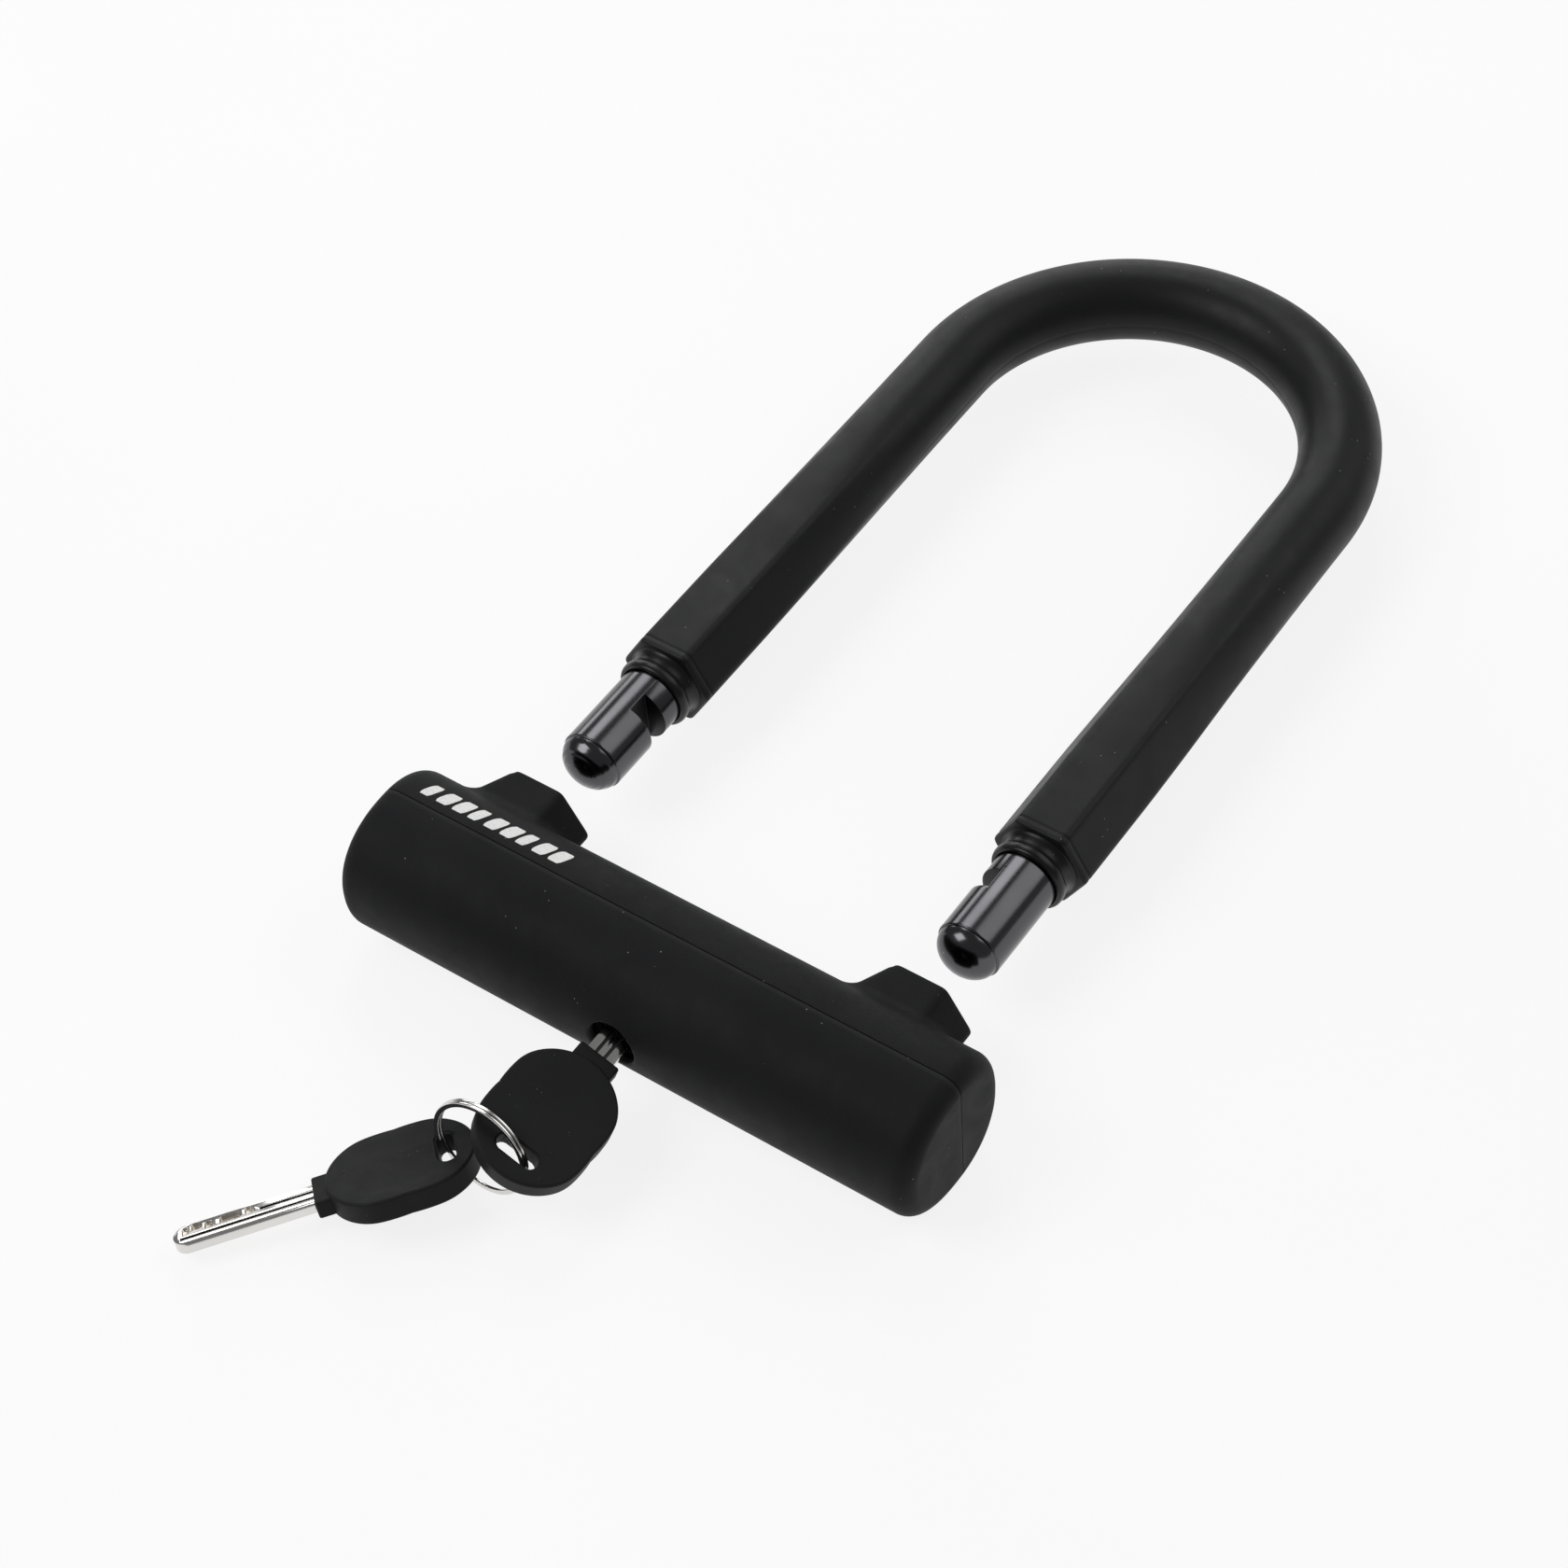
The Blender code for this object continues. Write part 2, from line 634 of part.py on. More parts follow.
def bow_outline():
    """Two end arcs joined by straight sides, from one side of the neck round to the other."""
    near = NECK_LENGTH + BOW_END_RADIUS
    far = NECK_LENGTH + BOW_LENGTH - BOW_END_RADIUS
    side = math.asin(BOW_HALF_WIDTH / BOW_END_RADIUS)
    neck = math.asin(NECK_HALF_WIDTH / BOW_END_RADIUS)
    outline = []
    for i in range(BOW_NEAR_STEPS + 1):
        turn = math.pi - neck - (side - neck) * i / BOW_NEAR_STEPS
        outline.append((near + BOW_END_RADIUS * math.cos(turn), BOW_END_RADIUS * math.sin(turn)))
    for i in range(BOW_FAR_STEPS + 1):
        turn = side - 2 * side * i / BOW_FAR_STEPS
        outline.append((far + BOW_END_RADIUS * math.cos(turn), BOW_END_RADIUS * math.sin(turn)))
    outline += [(x, -y) for x, y in outline[BOW_NEAR_STEPS::-1]]
    return outline


def slot_middle():
    return NECK_LENGTH + BOW_LENGTH - SLOT_FROM_END


def key_slot(name):
    outline = []
    for end in (1, -1):
        for i in range(SLOT_END_STEPS + 1):
            turn = math.pi * i / SLOT_END_STEPS
            outline.append((slot_middle() + end * SLOT_RADIUS * math.cos(turn),
                            end * (SLOT_HALF_LENGTH + SLOT_RADIUS * math.sin(turn))))
    return prism(name, outline, -BOW_THICKNESS, BOW_THICKNESS)


def key_bow(name, parent):
    half = BOW_THICKNESS / 2
    bow = place(name, prism(name, bow_outline(), -half, half), bow_plastic(), parent)
    half_neck = NECK_THICKNESS / 2
    fuse(bow, box("neck", (0, -NECK_HALF_WIDTH, -half_neck),
                  (NECK_LENGTH + NECK_IN_BOW, NECK_HALF_WIDTH, half_neck)))
    half_tang = BLADE_THICKNESS / 2 + GAP
    cut(bow, box("tang_pocket", (-PAST, -BLADE_WIDTH / 2 - GAP, -half_tang),
                 (TANG_LENGTH + GAP, BLADE_WIDTH / 2 + GAP, half_tang)))
    cut(bow, key_slot("slot"))
    return bow


def key_blade(name, parent):
    half_width = BLADE_WIDTH / 2
    half = BLADE_THICKNESS / 2
    outline = [(TANG_LENGTH, -half_width), (TANG_LENGTH, half_width)]
    for i in range(TIP_STEPS + 1):
        turn = math.pi / 2 + math.pi * i / TIP_STEPS
        outline.append((half_width * (1 + math.cos(turn)) - BLADE_LENGTH, half_width * math.sin(turn)))
    blade = place(name, prism(name, outline, -half, half), bright_nickel(), parent)
    for side in (-1, 1):
        zs = sorted((side * (half - GROOVE_DEPTH), side * (half + PAST)))
        cut(blade, box("groove_%+d" % side, (-BLADE_LENGTH + GROOVE_FROM_TIP, -GROOVE_WIDTH / 2, zs[0]),
                       (TANG_LENGTH + PAST, GROOVE_WIDTH / 2, zs[1])))
    return blade


def key_ring(parent):
    """A ring about its own Z axis, whose wire runs past the origin."""
    rings = []
    for i in range(RING_STEPS):
        turn = 2 * math.pi * i / RING_STEPS
        out = Vector((math.cos(turn), math.sin(turn), 0.0))
        loop = []
        for j in range(WIRE_STEPS):
            angle = 2 * math.pi * j / WIRE_STEPS
            point = out * (RING_RADIUS + RING_WIRE * math.cos(angle)) - Vector((RING_RADIUS, 0.0, 0.0))
            loop.append((point.x, point.y, RING_WIRE * math.sin(angle)))
        rings.append(loop)
    return place("key_ring", closed_loft("key_ring", rings), bright_nickel(), parent)


def rotation(degrees, axes):
    """Turns about the given axes, one inside the other."""
    result = Matrix.Identity(4)
    for angle, axis in zip(degrees, axes):
        result = result @ Matrix.Rotation(math.radians(angle), 4, axis)
    return result


def key_matrix():
    """The key in the lock: out along -Y, its width along X, rolled about the lock's axis."""
    return Matrix.Translation((0.0, KEY_NECK_Y * MM, 0.0)) @ rotation((KEY_ROLL, -90.0), "YZ")


def ring_matrix():
    """The ring square to the key, its wire through the key's slot, then leant over a little."""
    spot = Matrix.Translation(Vector((slot_middle() + RING_IN_SLOT[0], RING_IN_SLOT[1], 0.0)) * MM)
    square = Matrix(((0, 0, 1, 0), (1, 0, 0, 0), (0, 1, 0, 0), (0, 0, 0, 1)))
    return key_matrix() @ spot @ rotation(RING_LEAN, "ZXY") @ square


def spare_matrix():
    """The spare key about the wire in its slot, with its blade along its own -X, down to its tip."""
    turn = math.radians(SPARE_ON_RING)
    spot = Vector((RING_RADIUS * (math.cos(turn) - 1), RING_RADIUS * math.sin(turn), 0.0)) * MM
    return Matrix.Translation(ring_matrix() @ spot) @ rotation(SPARE_TURN, "ZYX")


# ---------------------------------------------------------------- assembly

def build_crossbar(root):
    front_cover(root)
    rear_cover(root)
    crossbar_tube(root)
    cylinder_housing(root)
    cylinder_pin(root)
    for name, side in (("left", -1), ("right", 1)):
        end_plug(name + "_end_plug", side, root)
        foot_guide(name + "_foot_guide", side, root)
        bolt(name + "_bolt", side, empty(name + "_bolt_axis", root))


def build_barrel(plug):
    rolled = empty("barrel_frame", plug, Matrix.Rotation(math.radians(KEY_ROLL), 4, "Y"))
    key_barrel(rolled)
    for index in range(DISC_COUNT):
        lock_disc(index, rolled)
    sidebar(rolled)
    bolt_cam(plug)


def build_shackle(root):
    shackle = empty("shackle_axis", root)
    shackle_bar(shackle)
    shackle_sleeve(shackle)
    collar("left_collar", -1, shackle)
    collar("right_collar", 1, shackle)


def build_keys(root):
    key = empty("key_axis", root, key_matrix())
    key_blade("key_blade", key)
    key_bow("key_bow", key)
    key_ring(empty("ring_pivot", root, ring_matrix()))
    pivot = empty("spare_pivot", root, spare_matrix())
    wire = Vector((slot_middle() + SPARE_SLOT_SPOT[0], SPARE_SLOT_SPOT[1], 0.0)) * MM
    spare = empty("spare_axis", pivot, Matrix.Translation(-wire))
    key_blade("spare_key_blade", spare)
    key_bow("spare_key_bow", spare)


def main():
    clear_scene()
    root = empty("lock_axis", None, Matrix.Translation(Vector((0.0, -MIDDLE_Y, COVER_HALF_HEIGHT)) * MM))
    build_crossbar(root)
    build_shackle(root)
    build_barrel(empty("plug_axis", root))
    build_keys(root)


main()
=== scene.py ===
"""The looks of the U lock: moulded covers, rubber sleeve, black nickel bar, keys and split ring.

Lengths in the constants are millimetres, counted from the middle of the crossbar: X along it, Y towards the
bend of the shackle, Z up.
"""
import json
import math

import bmesh
import bpy
from mathutils import Matrix, Vector


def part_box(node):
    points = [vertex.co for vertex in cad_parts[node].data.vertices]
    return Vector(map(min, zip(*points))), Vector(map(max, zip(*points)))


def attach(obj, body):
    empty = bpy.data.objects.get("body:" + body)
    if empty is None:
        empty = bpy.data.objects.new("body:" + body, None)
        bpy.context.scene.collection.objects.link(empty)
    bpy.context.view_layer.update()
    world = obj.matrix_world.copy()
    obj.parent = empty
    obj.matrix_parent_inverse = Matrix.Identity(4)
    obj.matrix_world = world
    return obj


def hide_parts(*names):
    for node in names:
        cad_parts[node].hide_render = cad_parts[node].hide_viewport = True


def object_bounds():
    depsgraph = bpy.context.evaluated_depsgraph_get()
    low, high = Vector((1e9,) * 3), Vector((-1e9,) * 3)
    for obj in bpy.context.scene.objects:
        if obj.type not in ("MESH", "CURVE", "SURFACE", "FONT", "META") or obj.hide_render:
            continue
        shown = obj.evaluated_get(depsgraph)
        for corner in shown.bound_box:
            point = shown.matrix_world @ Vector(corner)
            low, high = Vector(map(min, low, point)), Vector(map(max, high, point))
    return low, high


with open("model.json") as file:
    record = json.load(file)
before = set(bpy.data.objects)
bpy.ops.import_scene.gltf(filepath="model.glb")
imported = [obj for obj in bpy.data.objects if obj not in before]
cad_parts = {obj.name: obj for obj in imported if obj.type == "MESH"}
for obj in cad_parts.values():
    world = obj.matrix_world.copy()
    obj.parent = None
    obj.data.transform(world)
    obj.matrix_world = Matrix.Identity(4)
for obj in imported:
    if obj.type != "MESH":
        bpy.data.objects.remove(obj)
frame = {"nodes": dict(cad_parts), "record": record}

MM = 0.001
PAST = 1.0                     # how far a cutter runs past what it cuts
WELD_DISTANCE = 0.02
HOUSING_FRONT = 17.0           # from the cylinder housing's front to the crossbar's middle

# Crossbar covers
COVER_HALF_LENGTH = 77.5
COVER_FRONT = 20.4
COVER_REAR = 17.3
COVER_HALF_HEIGHT = 18.5
COVER_POWER = 2.22
COVER_FILLET = 4.5
COVER_WALL = 1.6
COVER_END_WALL = 2.4
SEAM_Y = 1.0
SEAM_GAP = 0.22
SEAM_CHAMFER = 0.05
SECTION_STEPS = 96
END_STEPS = 10
CAVITY_STEPS = 40
ROUND_STEPS = 96
GRID_STEP = 0.9
KEYHOLE_RADIUS = 6.0
KEYHOLE_RIM = ((0.0, 1.0), (0.05, 0.6), (0.2, 0.28),
               (0.5, 0.06), (1.0, -0.04), (1.4, -1.0))  # wider by, and depth under the face
POCKET_RADIUS = 9.3
POCKET_Y = -17.3

# Bosses
LEG_X = 52.0
BOSS_RIM_Y = 24.9
BOSS_ROOT_Y = 6.0
BOSS_APOTHEM = 11.25
BOSS_FLARE = 9.2
BOSS_BORE = 9.9
BOSS_ROUNDING = 26.0           # a power: more gives sharper corners
BOSS_EDGE = 0.7
BOSS_EDGE_STEPS = 4
BOSS_WALL_STEPS = 8
BOSS_BLEND = 2.2
BOSS_BLEND_STEPS = 8
FLARE_WIDTH = 6.5              # from the boss's middle to where the flare is full
BORE_EDGE = 0.45
PATCH_LEFT = 20.5
PATCH_RIGHT = 18.5
PATCH_HALF_Z = 15.6
PATCH_STEPS = 6
PATCH_FROM_SEAM = 3.0

# Printed mark
MARK_START_X = -68.5
MARK_END_X = -28.0
MARK_BARS = 9
MARK_ROWS = 9
MARK_COLUMNS = 7
MARK_MIDDLE = 4.6              # along the face from the seam
MARK_HEIGHT = 4.6
MARK_SLANT = 1.5
MARK_WIDE = 0.78               # shares of the pitch: every third bar is the narrow one
MARK_NARROW = 0.62
MARK_ROUNDING = 0.28
MARK_FILM = 0.05
FACE_STEP = 0.002              # radians

# Shackle
BEND_Y = 198.0
BAR_RADIUS = 8.0
DOME_RADIUS = 7.55
DOME_HEIGHT = 5.4
DOME_STEPS = 56
FOOT_EDGE = 0.3                # the rounded shoulder between dome and bar
EDGE_STEPS = 4
RING_MARK_DEPTH = 0.07
RING_MARK_PITCH = 1.3
RING_MARK_FADE = (2.0, 7.0)
BAR_STEPS = 120
BAR_BEND_STEPS = 48
BAR_BEND_START_Y = 138.0
SHOULDER_Y = 43.0
NOTCH_START_Y = 55.8
NOTCH_END_Y = 61.3
NOTCH_FLOOR = 2.7
NOTCH_EDGE = 0.12
NOTCH_LEAD = 0.8               # from the last ring before the notch to the notch
BAR_IN_SLEEVE = 2.0
SLEEVE_END_Y = 72.5
SLEEVE_APOTHEM = 10.8
SLEEVE_BEND_RADIUS = 10.3
SLEEVE_BORE = 8.3
SLEEVE_ROUNDING = 34.0
SLEEVE_EDGE = 0.9
SLEEVE_STEPS = 132
SLEEVE_EDGE_STEPS = 6
FINE_STEPS = 15
PLAIN_STEPS = 60
SLEEVE_BEND_STEPS = 90
BORE_BEND_STEPS = 60
FINE_LENGTH = 3.3              # from the sleeve's end, the length with closely spaced rings
PLAIN_START = 3.6
PLAIN_BEFORE_BEND = 1.5
GROOVE_DEPTH = 0.22            # the fine groove behind the sleeve's end
GROOVE_BEHIND = 2.1
GROOVE_SPREAD = 0.28
PARTING_DEPTH = 0.12           # the parting line on the inner side of the bend
PARTING_SPREAD = 0.02
ROUNDING_START_Y = 95.0
ROUNDING_END_Y = 190.0
COLLAR_ROOT = 9.85
COLLAR_LENGTH = 5.7
COLLAR_COVE = 2.7
COLLAR_WAIST = 8.95
COLLAR_BEAD = 1.35             # half the bead's width
COLLAR_BEAD_RISE = 0.5
COLLAR_BEAD_SINK = 0.1
COLLAR_GAP = 0.02
COLLAR_STEPS = 9

# Keys and ring
KEY_ROLL = 20.0
KEY_NECK_Y = -24.4
BLADE_WIDTH = 7.0
BLADE_THICKNESS = 2.6
BLADE_LENGTH = 31.5
TANG_LENGTH = 8.0
GROOVES = ((-1.3, 0.75, 0.6, -30.0), (1.0, 0.75, 0.45, -12.0))  # middle, width, depth and start
BITS = ((-28.6, 1.2, 0.7, 0.5), (-26.2, 1.9, 0.9, 0.9), (-23.4, 1.2, 0.8, 0.6),
        (-18.6, 1.3, 2.2, 0.8), (-14.4, 1.6, 0.7, 0.5))  # along, over, half length and depth
BIT_HALF_WIDTH = 1.0
BIT_FLARE = 0.5
BIT_SQUARENESS = 0.6           # a power: 1 is an ellipse, less is squarer
BIT_STEPS = 32
BLADE_EDGE = 0.09
TIP_ROUNDNESS = 0.9
NECK_LENGTH = 2.8
NECK_HALF_WIDTH = 5.2
NECK_THICKNESS = 4.4
NECK_EDGE = 0.6
NECK_IN_BOW = 4.0
TANG_CLEARANCE = 0.12
TANG_END_GAP = 0.3
ARC_STEPS = 24
BOW_LENGTH = 34.0
BOW_END_RADIUS = 13.7
BOW_HALF_WIDTH = 13.4
BOW_THICKNESS = 5.6
BOW_EDGE = 0.7
BOW_CORNER = 24.0              # a power: more gives a sharper corner between end arc and side
BOW_HOLLOW = ((9.0, 0.10), (5.4, 0.10), (4.2, 0.06), (3.2, 0.01), (2.2, 0.0))  # distance in and depth
BOW_EDGE_STEPS = 6
BOW_STEPS = 144
SLOT_FROM_END = 6.6
SLOT_HALF_LENGTH = 3.3
SLOT_RADIUS = 1.9
SLOT_EDGE = 0.6
SLOT_EDGE_LIFT = 0.1
SLOT_EDGE_STEPS = 5
RING_RADIUS = 11.7
RING_IN_SLOT = (0.0, 2.2)
RING_LEAN = (3.7, 32.2, -11.5)
RING_FREE_END = 188.0          # degrees round the ring
RING_SWEEP = 608.0
WIRE_LEVEL = 0.47              # from the ring's middle plane to the middle of either turn
WIRE_HALF_WIDTH = 0.66
WIRE_HALF_HEIGHT = 0.40
WIRE_SQUARENESS = 0.55
WIRE_END = 0.6                 # the share of the wire's size that is left at a free end
WIRE_END_STEPS = 3
RING_EASE = 8.0                # degrees
RING_STEPS = 260
WIRE_STEPS = 40
SPARE_ON_RING = 202.3
SPARE_TURN = (50.3, -5.2, -21.4)
SPARE_SLOT_SPOT = (-0.3, 3.1)

# Materials
GRAIN_DEPTH = 0.06
PLATED_LINE_DEPTH = 0.02
MACHINED_LINE_DEPTH = 0.03
PRINT_GRAIN_DEPTH = 0.03
WORN_BLACK = (0.09, 0.09, 0.092)
WORN_METAL = (0.5, 0.5, 0.5)
DUST = (0.34, 0.34, 0.33)
DULLING = 0.72                 # of the colour of a machined piece, where it is stained
DULL_ROUGHNESS = 0.14
WHITE = (1.0, 1.0, 1.0)

# Light, floor and camera
ROOM_LIGHT = 0.20
BACKDROP_LIGHT = 0.95
LIGHT_TARGET = (0.0, 0.04, 0.0)  # metres
FLOOR_HALF_SIZE = 6.0          # metres
FLOOR_GLOW = 0.845
CAMERA_AZIMUTH = 38.389
CAMERA_ELEVATION = 49.942
CAMERA_ROLL = -4.983
CAMERA_DISTANCE = 794.847
CAMERA_LENS = 82.556
SENSOR = 36.0
AIM_RIGHT = -26.37             # from the picture's middle to the crossbar's middle, across and up
AIM_UP = -43.76

housing_low, housing_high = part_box("cylinder_housing")
LOCK = Vector(((housing_low.x + housing_high.x) / 2, housing_low.y + HOUSING_FRONT * MM,
               (housing_low.z + housing_high.z) / 2))
cad_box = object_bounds()


# ---------------------------------------------------------------- mesh helpers

def finish_mesh(name, shape, sharp=35):
    bmesh.ops.recalc_face_normals(shape, faces=shape.faces)
    mesh = bpy.data.meshes.new(name)
    shape.to_mesh(mesh)
    shape.free()
    mesh.shade_smooth()
    mesh.set_sharp_from_angle(angle=math.radians(sharp))
    return mesh


def bridge(shape, first, second):
    count = len(first)
    for i in range(count):
        j = (i + 1) % count
        shape.faces.new((first[i], first[j], second[j], second[i]))


def ring_verts(shape, points):
    return [shape.verts.new(Vector(point) * MM) for point in points]


def loft(name, rings, sharp=35):
    """One closed solid through a list of rings, with a flat face on each end."""
    shape = bmesh.new()
    loops = [ring_verts(shape, ring) for ring in rings]
    for first, second in zip(loops, loops[1:]):
        bridge(shape, first, second)
    shape.faces.new(loops[0])
    shape.faces.new(loops[-1])
    return finish_mesh(name, shape, sharp)


def closed_loft(name, rings, sharp=35):
    """One closed solid through rings whose last joins the first."""
    shape = bmesh.new()
    loops = [ring_verts(shape, ring) for ring in rings]
    for first, second in zip(loops, loops[1:] + loops[:1]):
        bridge(shape, first, second)
    return finish_mesh(name, shape, sharp)


def spread(start, end, steps):
    return [start + (end - start) * i / steps for i in range(steps + 1)]


def full_turn(steps):
    return [2 * math.pi * i / steps for i in range(steps)]


def quarter_turn(steps):
    return spread(0.0, math.pi / 2, steps)


def circle(radius, y, steps=ROUND_STEPS, centre_x=0.0):
    return [(centre_x + radius * math.cos(turn), y, radius * math.sin(turn)) for turn in full_turn(steps)]


def rod(name, radius, start_y, end_y):
    return loft(name, [circle(radius, start_y), circle(radius, end_y)])


def box(name, low, high):
    shape = bmesh.new()
    bmesh.ops.create_cube(shape, size=1.0)
    bmesh.ops.scale(shape, verts=shape.verts, vec=[(b - a) * MM for a, b in zip(low, high)])
    bmesh.ops.translate(shape, verts=shape.verts, vec=[(a + b) / 2 * MM for a, b in zip(low, high)])
    return finish_mesh(name, shape)


def add_object(name, mesh, mat=None):
    item = bpy.data.objects.new(name, mesh)
    bpy.context.scene.collection.objects.link(item)
    if mat:
        mesh.materials.clear()
        mesh.materials.append(mat)
    return item


def apply_modifiers(item):
    graph = bpy.context.evaluated_depsgraph_get()
    mesh = bpy.data.meshes.new_from_object(item.evaluated_get(graph))
    old = item.data
    item.modifiers.clear()
    item.data = mesh
    bpy.data.meshes.remove(old)


def boolean(item, mesh, operation="DIFFERENCE"):
    tool = add_object("tool", mesh)
    modifier = item.modifiers.new("boolean", "BOOLEAN")
    modifier.operation = operation
    modifier.solver = "EXACT"
    modifier.material_mode = "TRANSFER"
    modifier.object = tool
    apply_modifiers(item)
    bpy.data.objects.remove(tool, do_unlink=True)


def bevel(item, width, segments, angle=30):
    modifier = item.modifiers.new("bevel", "BEVEL")
    modifier.width = width * MM
    modifier.segments = segments
    modifier.limit_method = "ANGLE"
    modifier.angle_limit = math.radians(angle)
    apply_modifiers(item)


def weld(item):
    """Joins the points that a cut leaves almost in the same place, and drops the slivers between them."""
    shape = bmesh.new()
    shape.from_mesh(item.data)
    bmesh.ops.remove_doubles(shape, verts=shape.verts, dist=WELD_DISTANCE * MM)
    bmesh.ops.dissolve_degenerate(shape, edges=shape.edges, dist=WELD_DISTANCE * MM)
    shape.to_mesh(item.data)
    shape.free()


def sharpen(item, angle):
    item.data.shade_smooth()
    item.data.set_sharp_from_angle(angle=math.radians(angle))


def weigh_normals(item):
    modifier = item.modifiers.new("weighted_normals", "WEIGHTED_NORMAL")
    modifier.keep_sharp = True
    apply_modifiers(item)


def settle(item, matrix, body, slot, *nodes):
    """Puts a piece drawn in the lock's own place into the row frame, on its body, for its CAD nodes."""
    item.data.transform(Matrix.Translation(LOCK) @ matrix)
    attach(item, body)
    if nodes:
        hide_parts(*nodes)
    return item


# ---------------------------------------------------------------- curves

def signed_power(value, power):
    return math.copysign(abs(value) ** power, value)


def smooth_step(low, high, value):
    share = min(max((value - low) / (high - low), 0.0), 1.0)
    return share * share * (3 - 2 * share)


def hexagon_radius(angle, apothem, rounding):
    """From the middle of a hexagon, flat on top, to its side. The corners are rounded by the power."""
    total = 0.0
    for i in range(6):
        facing = math.cos(angle - math.pi / 6 - i * math.pi / 3)
        if facing > 0:
            total += (facing / apothem) ** rounding
    return total ** (-1 / rounding)


# ---------------------------------------------------------------- crossbar covers

def oval_point(angle, inset, side):
    """A point of the section: angle 0 is at the side, a quarter turn is at the top."""
    depth = (COVER_REAR if side > 0 else COVER_FRONT) - inset
    y = side * depth * signed_power(math.cos(angle), 2 / COVER_POWER)
    z = (COVER_HALF_HEIGHT - inset) * signed_power(math.sin(angle), 2 / COVER_POWER)
    return y, z


def seam_angle(inset, side):
    """The section's angle at the seam: past a quarter turn when the seam is on the other side."""
    seam = SEAM_Y + side * SEAM_GAP / 2 + side * SEAM_CHAMFER
    near = seam * side > 0
    depth = (COVER_REAR if seam > 0 else COVER_FRONT) - inset
    angle = math.acos((abs(seam) / depth) ** (COVER_POWER / 2))
    return angle if near else math.pi - angle


def half_section(inset, side):
    """Points from the seam's top round the side to the seam's bottom, with a chamfer at either end."""
    start = seam_angle(inset, side)
    points = []
    for angle in spread(start, -start, SECTION_STEPS):
        if abs(angle) <= math.pi / 2:
            points.append(oval_point(angle, inset, side))
        else:
            y, z = oval_point(math.pi - abs(angle), inset, -side)
            points.append((y, math.copysign(z, angle)))
    seam = SEAM_Y + side * SEAM_GAP / 2
    top = (seam, points[0][1] - SEAM_CHAMFER)
    bottom = (seam, points[-1][1] + SEAM_CHAMFER)
    return [top] + points + [bottom]


def end_profile():
    """(x, inset) round the end fillet, from the flat end's rim to the straight part."""
    profile = []
    for turn in reversed(quarter_turn(END_STEPS)):
        x = COVER_HALF_LENGTH - COVER_FILLET * (1 - math.sin(turn))
        profile.append((x, COVER_FILLET * (1 - math.cos(turn))))
    return profile


def cover_stations():
    """(x, inset) along the whole bar."""
    right = end_profile()
    straight = COVER_HALF_LENGTH - COVER_FILLET
    count = round(2 * straight / GRID_STEP)
    middle = [(-straight + 2 * straight * i / count, 0.0) for i in range(1, count)]
    return [(-x, inset) for x, inset in right] + middle + right[::-1]


def surface_angle(z):
    return math.copysign(math.asin(min(abs(z) / COVER_HALF_HEIGHT, 1.0) ** (COVER_POWER / 2)), z)


def surface_y(z, side):
    return oval_point(surface_angle(z), 0.0, side)[0]


def front_solid():
    rings = [[(x, y, z) for y, z in half_section(inset, -1)] for x, inset in cover_stations()]
    return loft("front", rings)


def cavity():
    """The room inside both covers. Its points stand half a step away from the top and the bottom."""
    downward = [math.pi * (0.5 - (i + 0.5) / CAVITY_STEPS) for i in range(CAVITY_STEPS)]
    front = [oval_point(angle, COVER_WALL, -1) for angle in downward]
    rear = [oval_point(-angle, COVER_WALL, 1) for angle in downward]
    end = COVER_HALF_LENGTH - COVER_END_WALL
    return loft("cavity", [[(x, y, z) for y, z in front + rear] for x in (-end, end)])


def keyhole_cutter():
    """A round hole whose rim is softened along the curved face."""
    rings = [circle(KEYHOLE_RADIUS, 0.0)]
    for wider, depth in KEYHOLE_RIM:
        ring = circle(KEYHOLE_RADIUS + wider, depth)
        rings.append([(x, surface_y(z, -1) + y, z) for x, y, z in ring])
    return loft("keyhole", rings)


# The rear cover is one grid whose squares are left out round each boss, where the boss's own rings join it.

def boss_outline(direction, apothem):
    """The boss's hexagon as (x, z) in a direction given in radians."""
    radius = hexagon_radius(direction, apothem, BOSS_ROUNDING)
    return radius * math.cos(direction), radius * math.sin(direction)


def boss_spread(x, y):
    """How far the -X side has moved out at this height."""
    share = (BOSS_RIM_Y - y) / (BOSS_RIM_Y - BOSS_ROOT_Y)
    return BOSS_FLARE * share * smooth_step(0.0, FLARE_WIDTH, -x)


def boss_column(direction, centre_x):
    """Points of the boss in one direction, from its rim down its wall and out onto the cover."""
    column = []
    for turn in quarter_turn(BOSS_EDGE_STEPS):
        x, z = boss_outline(direction, BOSS_APOTHEM - BOSS_EDGE * (1 - math.sin(turn)))
        column.append((x, BOSS_RIM_Y - BOSS_EDGE * (1 - math.cos(turn)), z))
    x, z = boss_outline(direction, BOSS_APOTHEM)
    top = BOSS_RIM_Y - BOSS_EDGE
    foot = surface_y(z, 1) + BOSS_BLEND
    for i in range(1, BOSS_WALL_STEPS):
        y = top + (foot - top) * i / BOSS_WALL_STEPS
        column.append((x - boss_spread(x, y), y, z))
    for turn in quarter_turn(BOSS_BLEND_STEPS):
        wide_x, wide_z = boss_outline(direction, BOSS_APOTHEM + BOSS_BLEND * (1 - math.cos(turn)))
        y = surface_y(wide_z, 1) + BOSS_BLEND * (1 - math.sin(turn))
        column.append((wide_x - boss_spread(x, y), y, wide_z))
    return [(centre_x + x, y, z) for x, y, z in column]


